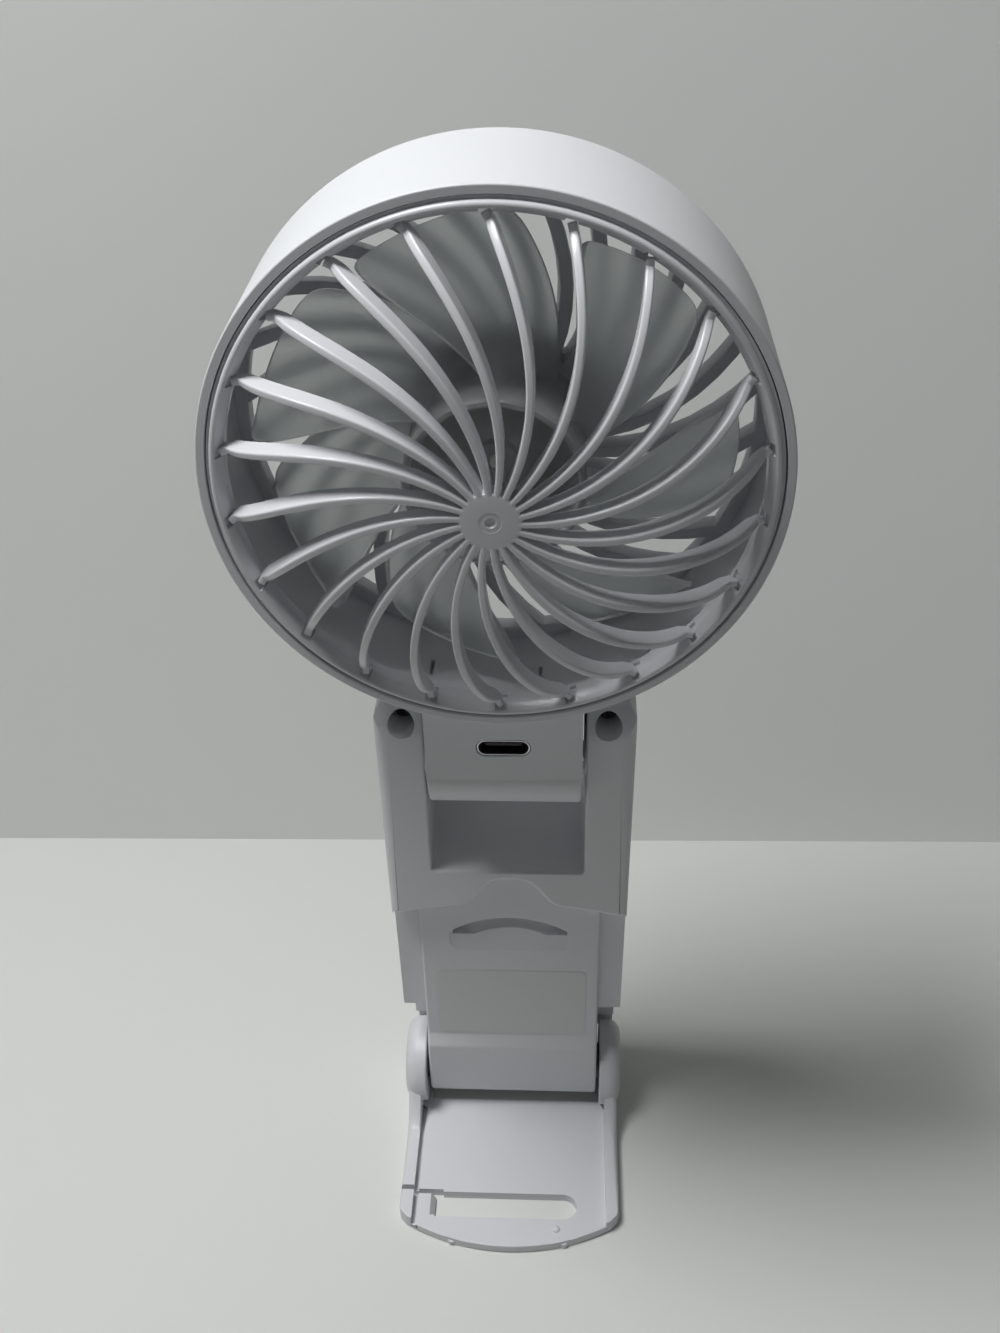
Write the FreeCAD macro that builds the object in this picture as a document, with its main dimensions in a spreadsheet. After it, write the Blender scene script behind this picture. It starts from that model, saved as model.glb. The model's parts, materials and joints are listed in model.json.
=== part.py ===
"""Folding handheld fan, millimetres, +Z up, the grille faces -Y.

The origin lies on the resting plane, under the middle of the stand's hinge line.
The head tilts on the neck hinge, the rotor spins, the stand plate folds up against
the handle, and the power button travels in the rear cover.
"""
import FreeCAD, Part
import math
import os
import re
import sys
import Sketcher
from FreeCAD import Placement, Rotation, Vector

SIZES = {
    # how far cutting tools run past what they cut, and the play of loose fits
    "past": 1.0,
    "far_past": 5.0,
    "play": 0.1,
    "room": 0.3,
    # drum and its axis
    "axis_height": 155.4,
    "drum_front": -19.58,
    "drum_radius": 41.6,
    "drum_depth": 25.5,
    "drum_wall": 1.3,
    "drum_edge": 0.6,
    "seat_width": 1.1,
    "seat_thickness": 1.2,
    "wire_hole_radius": 2.2,
    "wire_hole_setback": 3.0,
    "drum_slit_left": -11.65,
    "drum_slit_right": 5.82,
    "drum_slit_width": 0.6,
    "drum_slit_depth": 9.0,
    "drum_slit_length": 4.0,
    # front grille
    "seam_gap": 0.2,
    "flange_width": 0.75,
    "flange_drop": 0.35,
    "band_width": 0.7,
    "lip_radius": 37.8,
    "lip_drop": 1.1,
    "grille_ring_depth": 3.5,
    "spoke_count": 22,
    "spoke_width": 1.5,
    "spoke_rate": 0.9,
    "spoke_phase": 90.45,
    "spoke_depth_hub": 3.0,
    "spoke_depth_rim": 7.0,
    "spoke_root": 1.2,
    "spoke_seat": 0.25,
    "dome_rise": 10.0,
    "dome_radius": 37.0,
    "cap_radius": 4.4,
    "cap_thickness": 2.4,
    # rear grille and motor seat
    "rear_grille_depth": 3.5,
    "rear_ring_width": 1.9,
    "vane_count": 28,
    "vane_thickness": 1.1,
    "vane_sweep": 34.0,
    "vane_slant": 1.6,
    "vane_root": 1.0,
    "vane_seat": 0.6,
    "rear_hub_radius": 14.0,
    "rear_hub_thickness": 2.5,
    "bearing_radius": 2.5,
    "bearing_tube_wall": 1.0,
    "bearing_length": 9.0,
    # rotor
    "hub_radius": 13.0,
    "hub_wall": 1.2,
    "hub_setback": 0.3,
    "hub_length": 17.2,
    "hub_web_depth": 7.2,
    "hub_web_thickness": 2.0,
    "boss_radius": 2.3,
    "boss_length": 2.4,
    "blade_count": 7,
    "blade_radius": 34.6,
    "blade_thickness": 0.9,
    "blade_span": 43.0,
    "blade_sweep": 39.0,
    "blade_phase": 47.0,
    "blade_front": 4.6,
    "blade_rear": 14.6,
    "blade_root": 0.3,
    "blade_tip_trim": 8.0,
    "shaft_radius": 1.0,
    "shaft_fit": 0.03,
    "magnet_thickness": 1.1,
    "magnet_length": 7.0,
    "air_gap": 0.35,
    "stator_length": 4.6,
    "stator_teeth": 9,
    "tooth_width": 2.2,
    "stator_core": 1.9,
    "stator_setback": 0.2,
    "winding_share": 0.42,
    "winding_wall": 0.6,
    "motor_board_radius": 11.0,
    "motor_board_thickness": 1.0,
    # neck, its hinge and the charging port
    "neck_half_width": 12.9,
    "neck_setback": 7.94,
    "neck_wall": 1.4,
    "neck_reach": 5.0,
    "hinge_height": 95.0,
    "hinge_pin_radius": 2.0,
    "hinge_fit": 0.05,
    "hinge_boss_radius": 4.2,
    "hinge_boss_length": 4.0,
    "pin_head_radius": 2.8,
    "pin_head_thickness": 0.8,
    "port_height": 102.4,
    "port_width": 8.94,
    "port_thickness": 3.2,
    "port_wall": 0.3,
    "port_depth": 7.3,
    "port_gap": 0.1,
    "tongue_width": 6.7,
    "tongue_thickness": 0.7,
    "tongue_setback": 1.0,
    "charge_board_thickness": 1.0,
    "charge_board_length": 12.5,
    "neck_screw_radius": 1.0,
    "neck_screw_head": 1.9,
    "neck_screw_height": 108.0,
    "neck_screw_spread": 7.0,
    "neck_screw_tip": 4.0,
    "neck_seat_depth": 2.0,
    "neck_post_wall": 0.8,
    "screw_head_thickness": 1.4,
    # handle
    "handle_half_width": 22.3,
    "handle_taper": 1.0,
    "upper_face": -7.6,
    "panel_face": -5.1,
    "strip_face": -3.4,
    "handle_rear": 12.4,
    "handle_top": 107.6,
    "top_round": 7.5,
    "corner_round": 4.0,
    "heel_cut": 0.5,
    "toe_cut": 1.0,
    "handle_round_front": 2.5,
    "handle_round_rear": 5.0,
    "shell_wall": 1.5,
    "cover_depth": 3.5,
    "step_height": 62.0,
    "step_bow": 3.2,
    "step_radius": 73.0,
    "bump_radius": 7.8,
    "bump_top": 68.1,
    "panel_half_width": 17.05,
    "ledge_height": 23.5,
    "ledge_fall": 3.5,
    "fork_half_gap": 13.8,
    "fork_floor": 85.4,
    "pocket_floor": 70.4,
    "pocket_back": 7.3,
    "dish_radius": 14.8,
    "dish_top": 57.1,
    "dish_height": 9.5,
    "dish_depth": 1.5,
    "cheek_screw_height": 103.3,
    "cheek_screw_offset": 17.45,
    "cheek_recess_radius": 2.05,
    "cheek_recess_depth": 6.5,
    "cheek_screw_radius": 1.0,
    "cheek_screw_head": 1.85,
    "cheek_solid_base": 100.0,
    "bracket_depth": 9.0,
    "bracket_height": 9.6,
    "bracket_width": 3.2,
    "fork_hole_play": 0.4,
    "cover_screw_height": 36.5,
    "cover_screw_offset": 17.2,
    "cover_screw_radius": 1.0,
    "cover_screw_head": 1.9,
    "cover_screw_head_thickness": 1.2,
    "cover_seat_depth": 1.6,
    "cover_post_radius": 2.4,
    # inside the handle
    "battery_thickness": 7.4,
    "battery_width": 29.0,
    "battery_length": 34.0,
    "battery_base": 33.5,
    "pad_thickness": 0.5,
    "pad_inset": 3.0,
    "board_thickness": 1.0,
    "board_width": 29.0,
    "board_length": 42.0,
    "switch_width": 6.0,
    "switch_thickness": 1.6,
    "button_height": 63.0,
    "button_radius": 4.5,
    "button_gap": 0.3,
    "button_proud": 0.6,
    "button_flange": 1.0,
    "button_collar": 1.1,
    "button_backing": 0.2,
    "button_travel": 0.3,
    "button_slack": 0.05,
    "plunger_radius": 1.5,
    "light_radius": 0.9,
    "light_count": 4,
    "light_pitch": 3.2,
    "light_height": 48.0,
    "light_chip": 0.7,
    "light_fit": 0.03,
    "label_width": 29.4,
    "label_length": 18.2,
    "label_base": 23.7,
    "label_thickness": 0.12,
    # stand
    "stand_axis_height": 9.2,
    "barrel_radius": 6.3,
    "barrel_half_width": 17.1,
    "stand_gap": 0.7,
    "ear_half_width": 22.2,
    "ear_round": 1.6,
    "ear_clearance": 0.6,
    "notch_height": 30.0,
    "notch_depth": 3.2,
    "stand_half_width": 21.5,
    "stand_reach": 38.6,
    "stand_heel": 7.0,
    "stand_floor": 2.0,
    "stand_tip_radius": 40.9,
    "rim_width": 2.6,
    "rim_height": 3.3,
    "web_length": 19.0,
    "web_top": 12.88,
    "web_shoulder": 8.4,
    "slot_left": -14.6,
    "slot_right": 13.3,
    "slot_front": -32.5,
    "slot_width": 5.4,
    "slit_width": 1.0,
    "slit_overlap": 0.2,
    "slit_reach": 1.5,
    "stop_gap": 0.3,
    "stand_pin_radius": 1.25,
    "stand_pin_fit": 0.05,
    "stand_pin_inset": 1.2,
    "washer_radius": 3.8,
    "washer_thickness": 0.5,
    "washer_fit": 0.05,
    "nub_radius": 0.9,
    "nub_inset": 0.36,
    "nub_height": 1.2,
    "nub_offset": 10.8,
}

DERIVED = {
    "drum_rear": "drum_front + drum_depth",
    "bore_radius": "drum_radius - drum_wall",
    "flange_radius": "bore_radius - seam_gap",
    "neck_front": "drum_front + neck_setback",
    "hinge_depth": "(neck_front + drum_rear) / 2",
    "neck_round": "(drum_rear - neck_front) / 2",
    "rear_grille_front": "drum_rear - rear_grille_depth",
    "rear_hub_front": "drum_rear - rear_hub_thickness",
    "hub_front": "drum_front + hub_setback",
    "hub_rear": "hub_front + hub_length",
    "web_front": "hub_front + hub_web_depth",
    "web_rear": "web_front + hub_web_thickness",
    "hub_inner": "hub_radius - hub_wall",
    "tube_radius": "bearing_radius + bearing_tube_wall",
    "tube_front": "web_rear + boss_length + room",
    "split_face": "handle_rear - cover_depth",
    "cavity_rear": "handle_rear - shell_wall",
    "cavity_front": "strip_face + shell_wall",
    "cavity_half_width": "handle_half_width - handle_taper - shell_wall",
    "fork_cavity_front": "upper_face + shell_wall",
    "pocket_round": "pocket_back - upper_face",
    "pocket_axis_height": "pocket_floor + pocket_round",
    "cell_front": "cavity_front + play",
    "cell_rear": "cell_front + battery_thickness",
    "board_front": "cell_rear + pad_thickness",
    "board_rear": "board_front + board_thickness",
    "ear_inner": "barrel_half_width + stand_gap",
    "rim_inner": "stand_half_width - rim_width",
    "button_inner": "cavity_rear - button_gap - button_flange",
    "bracket_inner": "fork_half_gap + shell_wall",
    "bracket_outer": "bracket_inner + bracket_width",
    "switch_rear": "board_rear + switch_thickness",
    "chip_rear": "board_rear + light_chip",
    "port_front": "neck_front + room",
    "drum_bottom": "axis_height - drum_radius",
    "cheek_seat": "upper_face + cheek_recess_depth",
    "cover_seat": "handle_rear - cover_seat_depth",
    "neck_seat": "drum_rear - neck_seat_depth",
    "dish_slope": "dish_depth / dish_height",
}

doc = FreeCAD.newDocument("FoldingFan")
sheet = doc.addObject("Spreadsheet::Sheet", "Sizes")


def fill_sheet():
    """Write each driving size into its own named cell."""
    for row, (alias, size) in enumerate(SIZES.items(), start=1):
        sheet.set("A%d" % row, alias)
        sheet.set("B%d" % row, str(size))
        sheet.setAlias("B%d" % row, alias)
    doc.recompute()


def spell(text):
    """Turn plain size names into an expression on the sheet's cells."""
    def swap(match):
        word = match.group(0)
        if word in DERIVED:
            return "(" + spell(DERIVED[word]) + ")"
        if word in SIZES:
            return "Sizes." + word
        return word
    return re.sub(r"\b[a-z][a-z_]*\b", swap, text)


def value(text):
    """Number that an expression of size names has now."""
    return float(sheet.evalExpression(spell(text)))


def bind(item, prop, text):
    """Tie one property of an object to the sheet."""
    item.setExpression(prop, spell(text))


# distance within which two places count as the same
NEAR = 0.1

# sections along each curved form
SPOKE_STATIONS = 9
VANE_STATIONS = 5
BLADE_STATIONS = 6
BLADE_STEPS = 5

AXIS_TURNS = {
    "x": Rotation(Vector(0, 1, 0), 90),
    "y": Rotation(Vector(1, 0, 0), -90),
    "z": Rotation(),
}


def box(name, low, high):
    """Box between two corners, each a triple of expressions."""
    item = doc.addObject("Part::Box", name)
    for prop, start, end in zip(("Length", "Width", "Height"), low, high):
        bind(item, prop, "(%s) - (%s)" % (end, start))
    for letter, start in zip("xyz", low):
        bind(item, "Placement.Base." + letter, start)
    return item


def rod(name, axis, radius, length, start):
    """Cylinder from a start point along an axis."""
    item = doc.addObject("Part::Cylinder", name)
    item.Placement = Placement(Vector(), AXIS_TURNS[axis])
    bind(item, "Radius", radius)
    bind(item, "Height", length)
    for letter, text in zip("xyz", start):
        bind(item, "Placement.Base." + letter, text)
    return item


def cut(name, base, *tools):
    """Base with every tool taken away, one after the other."""
    for number, tool in enumerate(tools, start=1):
        item = doc.addObject("Part::Cut", name if number == len(tools) else "%s_cut_%d" % (name, number))
        item.Base = base
        item.Tool = tool
        base = item
    return base


def join(name, *items):
    """Union of several objects."""
    item = doc.addObject("Part::MultiFuse", name)
    item.Shapes = list(items)
    return item


def meet(name, *items):
    """Common part of several objects."""
    item = doc.addObject("Part::MultiCommon", name)
    item.Shapes = list(items)
    return item


def group(name, *items):
    """Several separate solids under one name."""
    item = doc.addObject("Part::Compound", name)
    item.Links = list(items)
    return item


def made(name, shape):
    """Object whose shape is worked out here from the sheet's values."""
    item = doc.addObject("Part::Feature", name)
    item.Shape = shape
    return item


def sketch_outline(body, name, role, points, lift=None):
    """Closed outline through points, each held by two named distances."""
    sketch = body.newObject("Sketcher::SketchObject", name)
    plane = [part for part in body.Origin.OriginFeatures if part.Role == role][0]
    sketch.AttachmentSupport = [(plane, "")]
    sketch.MapMode = "FlatFace"
    if lift:
        bind(sketch, "AttachmentOffset.Base." + lift[0], lift[1])
    corners = [Vector(value(across), value(up), 0) for across, up in points]
    count = len(corners)
    for index in range(count):
        sketch.addGeometry(Part.LineSegment(corners[index], corners[(index + 1) % count]), False)
    for index in range(count):
        sketch.addConstraint(Sketcher.Constraint("Coincident", index, 2, (index + 1) % count, 1))
    for index, (across, up) in enumerate(points):
        corner = corners[index]
        for kind, text, size in (("DistanceX", across, corner.x), ("DistanceY", up, corner.y)):
            number = sketch.addConstraint(Sketcher.Constraint(kind, -1, 1, index, 1, size))
            bind(sketch, "Constraints[%d]" % number, text)
    return sketch


def turned(name, points):
    """Body turned about the fan's axis, from points of depth and radius."""
    body = doc.addObject("PartDesign::Body", name)
    sketch = sketch_outline(body, name + "_section", "YZ_Plane", points, ("y", "axis_height"))
    turn = body.newObject("PartDesign::Revolution", name + "_turn")
    turn.Profile = sketch
    turn.ReferenceAxis = (sketch, ["H_Axis"])
    turn.Angle = 360
    return body


def padded(name, role, points, length, lift=None):
    """Body padded evenly to both sides of a plane."""
    body = doc.addObject("PartDesign::Body", name)
    sketch = sketch_outline(body, name + "_outline", role, points, lift)
    pad = body.newObject("PartDesign::Pad", name + "_pad")
    pad.Profile = sketch
    pad.Midplane = True
    bind(pad, "Length", length)
    return body


def soften(body, radius, chosen):
    """Round the edges of the body's last feature that the test chooses."""
    doc.recompute()
    base = body.Tip
    names = []
    for index, edge in enumerate(base.Shape.Edges, start=1):
        if chosen(edge):
            names.append("Edge%d" % index)
    fillet = body.newObject("PartDesign::Fillet", base.Name + "_round")
    fillet.Base = (base, names)
    bind(fillet, "Radius", radius)
    return body


def runs_along(edge, direction):
    """Whether a straight edge runs along a direction."""
    first, last = edge.Vertexes[0].Point, edge.Vertexes[-1].Point
    run = last - first
    return run.Length > 1e-6 and abs(abs(run.normalize().dot(direction)) - 1) < 1e-6


def fan_point(radius, angle, depth):
    """Point at a radius, an angle seen from the front and a depth."""
    turn = math.radians(angle)
    return Vector(radius * math.cos(turn), depth, value("axis_height") + radius * math.sin(turn))


def curve_through(points):
    """Smooth edge through points."""
    line = Part.BSplineCurve()
    line.interpolate(points)
    return line.toShape()


# drum

def drum_shell():
    """Outer tube with a seat for the front grille and a passage to the neck."""
    tube = turned("drum_tube", [
        ("drum_front", "drum_radius - drum_edge"),
        ("drum_front + drum_edge", "drum_radius"),
        ("drum_rear", "drum_radius"),
        ("drum_rear", "bore_radius"),
        ("drum_front + grille_ring_depth + seat_thickness", "bore_radius"),
        ("drum_front + grille_ring_depth + seat_thickness", "bore_radius - seat_width"),
        ("drum_front + grille_ring_depth", "bore_radius - seat_width"),
        ("drum_front + grille_ring_depth", "bore_radius"),
        ("drum_front", "bore_radius"),
    ])
    passage = rod("wire_passage", "z", "wire_hole_radius", "drum_radius / 2",
                  ("0", "hinge_depth + wire_hole_setback", "drum_bottom - past"))
    slits = [
        box("drum_slit_%d" % number, (left, "drum_front + drum_slit_depth", "drum_bottom - past"),
            (left + " + drum_slit_width", "drum_front + drum_slit_depth + drum_slit_length",
             "axis_height - drum_radius / 2"))
        for number, left in enumerate(("drum_slit_left", "drum_slit_right"), start=1)
    ]
    return cut("drum_shell", tube, passage, *slits)


# front grille

def spoke_height(radius):
    """How far the dome stands in front of the drum's front plane."""
    share = min(radius / value("dome_radius"), 1.0)
    return value("dome_rise") * (1 - share ** 4) ** 0.75


def spoke_depth(radius):
    """Depth of a spoke from its front edge to its rear edge."""
    hub, rim = value("spoke_depth_hub"), value("spoke_depth_rim")
    return hub + (rim - hub) * min(radius / value("dome_radius"), 1.0) ** 2


def spoke(angle):
    """One curved fin from the cap to the lip."""
    front, half = value("drum_front"), value("spoke_width") / 2
    start, end = value("cap_radius - spoke_root"), value("lip_radius + spoke_seat")
    last = SPOKE_STATIONS - 1
    sections = []
    for index in range(SPOKE_STATIONS):
        radius = start + (end - start) * index / last
        turn = angle + value("spoke_rate") * (radius - end)
        side = math.degrees(half / radius)
        near = front - spoke_height(radius)
        far = near + (spoke_depth(radius) if index < last else value("grille_ring_depth"))
        corners = [fan_point(radius, turn + side * sign, depth)
                   for sign, depth in ((-1, near), (1, near), (1, far), (-1, far))]
        sections.append(Part.makePolygon(corners + corners[:1]))
    return Part.makeLoft(sections, True, False)


def front_grille():
    """Ring with a lip, curved spokes on a dome and a small cap."""
    ring = turned("grille_ring", [
        ("drum_front + flange_drop", "flange_radius"),
        ("drum_front + grille_ring_depth", "flange_radius"),
        ("drum_front + grille_ring_depth", "lip_radius"),
        ("drum_front + lip_drop", "lip_radius"),
        ("drum_front", "flange_radius - flange_width - band_width"),
        ("drum_front", "flange_radius - flange_width"),
        ("drum_front + flange_drop", "flange_radius - flange_width"),
    ])
    cap = rod("grille_cap", "y", "cap_radius", "cap_thickness",
              ("0", "drum_front - dome_rise", "axis_height"))
    count = int(value("spoke_count"))
    spokes = [made("spoke_%d" % index, spoke(value("spoke_phase") + 360.0 * index / count))
              for index in range(count)]
    return join("front_grille", ring, cap, *spokes)


# rear grille

def vane(angle):
    """One curved slat of the rear grille, leaning along the air's swirl."""
    inner, outer = value("rear_hub_radius - vane_root"), value("bore_radius - rear_ring_width + vane_seat")
    half = value("vane_thickness") / 2
    sweep = value("vane_sweep")
    depth = value("rear_grille_front")
    edges = {1: [], -1: []}
    for index in range(VANE_STATIONS):
        share = index / (VANE_STATIONS - 1)
        radius = inner + (outer - inner) * share
        for sign in edges:
            turn = angle + sweep * share + sign * math.degrees(half / radius)
            edges[sign].append(fan_point(radius, turn, depth))
    edges[-1].reverse()
    face = Part.Face(Part.Wire([curve_through(edges[1]), Part.makeLine(edges[1][-1], edges[-1][0]),
                                curve_through(edges[-1]), Part.makeLine(edges[-1][-1], edges[1][0])]))
    middle = math.radians(angle + sweep / 2)
    lean = value("vane_slant")
    return face.extrude(Vector(-lean * math.sin(middle), value("rear_grille_depth"), lean * math.cos(middle)))


def rear_grille():
    """Slatted rear wall with the motor's seat and bearing tube."""
    ring = turned("rear_ring", [
        ("rear_grille_front", "bore_radius"),
        ("drum_rear", "bore_radius"),
        ("drum_rear", "bore_radius - rear_ring_width"),
        ("rear_grille_front", "bore_radius - rear_ring_width"),
    ])
    hub = rod("rear_hub", "y", "rear_hub_radius", "rear_hub_thickness",
              ("0", "rear_hub_front", "axis_height"))
    tube = rod("bearing_tube", "y", "tube_radius", "rear_hub_front - tube_front + past",
               ("0", "tube_front", "axis_height"))
    count = int(value("vane_count"))
    vanes = [made("vane_%d" % index, vane(360.0 * index / count)) for index in range(count)]
    slats = meet("vane_band", join("vane_set", *vanes),
                 rod("vane_limit", "y", "bore_radius - rear_ring_width / 2", "rear_grille_depth",
                     ("0", "rear_grille_front", "axis_height")))
    hole = rod("bearing_hole", "y", "bearing_radius", "bearing_length + room",
               ("0", "tube_front", "axis_height"))
    return cut("rear_grille", join("rear_grille_whole", ring, hub, tube, slats), hole)


# rotor and motor

def blade(angle):
    """One broad swept blade, its leading edge to the rear."""
    root, tip = value("hub_radius - blade_root"), value("blade_radius")
    front = value("drum_front + blade_front")
    rear = value("drum_front + blade_rear")
    grid = []
    for index in range(BLADE_STATIONS):
        share = index / (BLADE_STATIONS - 1)
        radius = root + (tip - root) * share
        lead = angle + value("blade_sweep") * share ** 0.8
        span = value("blade_span") - value("blade_tip_trim") * share ** 6
        row = []
        for step in range(BLADE_STEPS):
            along = step / (BLADE_STEPS - 1)
            depth = rear + (front - rear) * (0.8 * along + 0.2 * along ** 2)
            row.append(fan_point(radius, lead + span * along, depth))
        grid.append(row)
    skin = Part.BSplineSurface()
    skin.interpolate(grid)
    return skin.toShape().extrude(Vector(0, value("blade_thickness"), 0))


def fan_rotor():
    """Open hub cup with a web, a rear motor cup and broad blades."""
    hub = turned("rotor_hub", [
        ("hub_front", "hub_radius"),
        ("hub_rear", "hub_radius"),
        ("hub_rear", "hub_inner"),
        ("web_rear", "hub_inner"),
        ("web_rear", "boss_radius"),
        ("web_rear + boss_length", "boss_radius"),
        ("web_rear + boss_length", "shaft_radius"),
        ("web_front", "shaft_radius"),
        ("web_front", "hub_inner"),
        ("hub_front", "hub_inner"),
    ])
    count = int(value("blade_count"))
    blades = [made("blade_%d" % index, blade(value("blade_phase") + 360.0 * index / count))
              for index in range(count)]
    core = rod("hub_core", "y", "hub_radius - hub_wall / 2", "hub_length", ("0", "hub_front", "axis_height"))
    trimmed = cut("blade_set", join("blades", *blades), core)
    return join("fan_rotor", hub, trimmed)


def motor_shaft():
    """Steel shaft from the rotor's web into the bearing."""
    return rod("motor_shaft", "y", "shaft_radius", "hub_web_thickness + boss_length + room + bearing_length",
               ("0", "web_front", "axis_height"))


def rotor_magnet():
    """Ring magnet on the inside of the rotor's rear cup."""
    return turned("rotor_magnet", [
        ("hub_rear - magnet_length - play", "hub_inner"),
        ("hub_rear - play", "hub_inner"),
        ("hub_rear - play", "hub_inner - magnet_thickness"),
        ("hub_rear - magnet_length - play", "hub_inner - magnet_thickness"),
    ])


def motor_bearing():
    """Sleeve bearing in the rear grille's tube."""
    start = ("0", "tube_front + room", "axis_height")
    outer = rod("bearing_sleeve", "y", "bearing_radius", "bearing_length", start)
    bore = rod("bearing_bore", "y", "shaft_radius + shaft_fit", "bearing_length", start)
    return cut("motor_bearing", outer, bore)


def motor_stator():
    """Toothed core with its windings, seated on the bearing tube."""
    front = value("tube_front + stator_setback")
    length = value("stator_length")
    wall, room = value("winding_wall"), value("room")
    inner = value("tube_radius")
    outer = value("hub_inner - magnet_thickness - air_gap")
    axis = Vector(0, 1, 0)
    centre = Vector(0, front, value("axis_height"))
    core_radius = inner + value("stator_core")
    core = Part.makeCylinder(core_radius, length, centre, axis)
    count = int(value("stator_teeth"))
    half = value("tooth_width") / 2
    teeth = []
    for index in range(count):
        tooth = Part.makeBox(outer - inner - wall, length, 2 * half,
                             Vector(inner + wall, front, centre.z - half))
        winding = Part.makeBox((outer - inner) * value("winding_share"), length - 2 * room, 2 * (half + wall),
                               Vector(core_radius + room, front + room, centre.z - half - wall))
        tooth = tooth.fuse(winding)
        tooth.rotate(centre, axis, 360.0 * index / count)
        teeth.append(tooth)
    whole = core.multiFuse(teeth)
    shape = whole.common(Part.makeCylinder(outer, length, centre, axis))
    shape = shape.cut(Part.makeCylinder(inner, length, centre, axis))
    return made("motor_stator", shape)


def motor_board():
    """Ring-shaped driver board on the rear grille's hub."""
    return turned("motor_board", [
        ("rear_hub_front - motor_board_thickness", "motor_board_radius"),
        ("rear_hub_front", "motor_board_radius"),
        ("rear_hub_front", "tube_radius + play"),
        ("rear_hub_front - motor_board_thickness", "tube_radius + play"),
    ])


# neck

def neck_solids():
    """Neck's outer form and the hollow inside it."""
    form = join("neck_block",
                box("neck_column", ("-neck_half_width", "neck_front", "hinge_height"),
                    ("neck_half_width", "drum_rear", "drum_bottom + neck_reach")),
                rod("neck_end", "x", "neck_round", "2 * neck_half_width",
                    ("-neck_half_width", "hinge_depth", "hinge_height")))
    drum = rod("neck_saddle", "y", "drum_radius", "drum_depth + 2 * past",
               ("0", "drum_front - past", "axis_height"))
    hollow = join("neck_hollow_block",
                  box("hollow_column",
                      ("neck_wall - neck_half_width", "neck_front + neck_wall", "hinge_height"),
                      ("neck_half_width - neck_wall", "drum_rear - neck_wall", "drum_bottom + neck_reach")),
                  rod("hollow_end", "x", "neck_round - neck_wall", "2 * (neck_half_width - neck_wall)",
                      ("neck_wall - neck_half_width", "hinge_depth", "hinge_height")))
    roof = rod("neck_roof", "y", "drum_radius + neck_wall", "drum_depth + 2 * past",
               ("0", "drum_front - past", "axis_height"))
    bosses = [rod("pin_boss_%d" % number, "x", "hinge_boss_radius", "hinge_boss_length + 2 * play",
                  (start, "hinge_depth", "hinge_height"))
              for number, start in enumerate(("neck_half_width - neck_wall - hinge_boss_length",
                                              "neck_wall - neck_half_width - 2 * play"), start=1)]
    posts = [rod("neck_post_%d" % number, "y", "neck_screw_head + neck_post_wall",
                 "drum_rear - neck_front - neck_wall", (place, "neck_front + neck_wall / 2", "neck_screw_height"))
             for number, place in enumerate(("-neck_screw_spread", "neck_screw_spread"), start=1)]
    cavity = cut("neck_cavity", hollow, roof, *(bosses + posts))
    passage = rod("neck_wire_hole", "z", "wire_hole_radius", "drum_radius / 2",
                  ("0", "hinge_depth + wire_hole_setback", "drum_bottom - neck_reach - past"))
    pin_hole = rod("neck_pin_hole", "x", "hinge_pin_radius", "2 * (neck_half_width + past)",
                   ("-neck_half_width - past", "hinge_depth", "hinge_height"))
    return cut("neck_form", form, drum, cavity, passage, pin_hole)


def slot_tool(name, width, thickness, start, length, height):
    """Flat-sided tool with round ends that points along +Y."""
    reach = "(%s - %s) / 2" % (width, thickness)
    radius = "(%s) / 2" % thickness
    middle = box(name + "_middle", ("-" + reach, start, "%s - %s" % (height, radius)),
                 (reach, "%s + %s" % (start, length), "%s + %s" % (height, radius)))
    ends = [rod(name + "_end_%d" % number, "y", radius, length, (place, start, height))
            for number, place in enumerate(("-" + reach, reach), start=1)]
    return join(name, middle, *ends)


def neck_shells(form):
    """Front shell with the port's opening and rear shell with screw seats."""
    narrow, wide = "-neck_half_width - past", "neck_half_width + past"
    low, high = "hinge_height - neck_round - past", "axis_height"
    front_half = box("neck_front_half", (narrow, "neck_front - past", low), (wide, "hinge_depth", high))
    rear_half = box("neck_rear_half", (narrow, "hinge_depth", low), (wide, "drum_rear + past", high))
    opening = slot_tool("port_opening", "(port_width + 2 * port_gap)", "(port_thickness + 2 * port_gap)",
                        "neck_front - past", "neck_wall + 2 * past", "port_height")
    threads = [rod("neck_thread_%d" % number, "y", "neck_screw_radius", "drum_rear - neck_front",
                   (place, "neck_front + neck_screw_tip", "neck_screw_height"))
               for number, place in enumerate(("-neck_screw_spread", "neck_screw_spread"), start=1)]
    seats = [rod("neck_seat_%d" % number, "y", "neck_screw_head + play", "neck_seat_depth + past",
                 (place, "neck_seat", "neck_screw_height"))
             for number, place in enumerate(("-neck_screw_spread", "neck_screw_spread"), start=1)]
    whole = cut("neck_drilled", form, opening, *(threads + seats))
    return meet("neck_front_shell", whole, front_half), meet("neck_rear_shell", whole, rear_half)


def neck_screws():
    """Two screws that hold the neck's shells together."""
    parts = []
    for number, place in enumerate(("-neck_screw_spread", "neck_screw_spread"), start=1):
        shank = rod("neck_shank_%d" % number, "y", "neck_screw_radius",
                    "neck_seat - neck_front - neck_screw_tip",
                    (place, "neck_front + neck_screw_tip", "neck_screw_height"))
        head = rod("neck_head_%d" % number, "y", "neck_screw_head", "screw_head_thickness",
                   (place, "neck_seat", "neck_screw_height"))
        parts.append(join("neck_screw_%d" % number, shank, head))
    return group("neck_screws", *parts)


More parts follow.
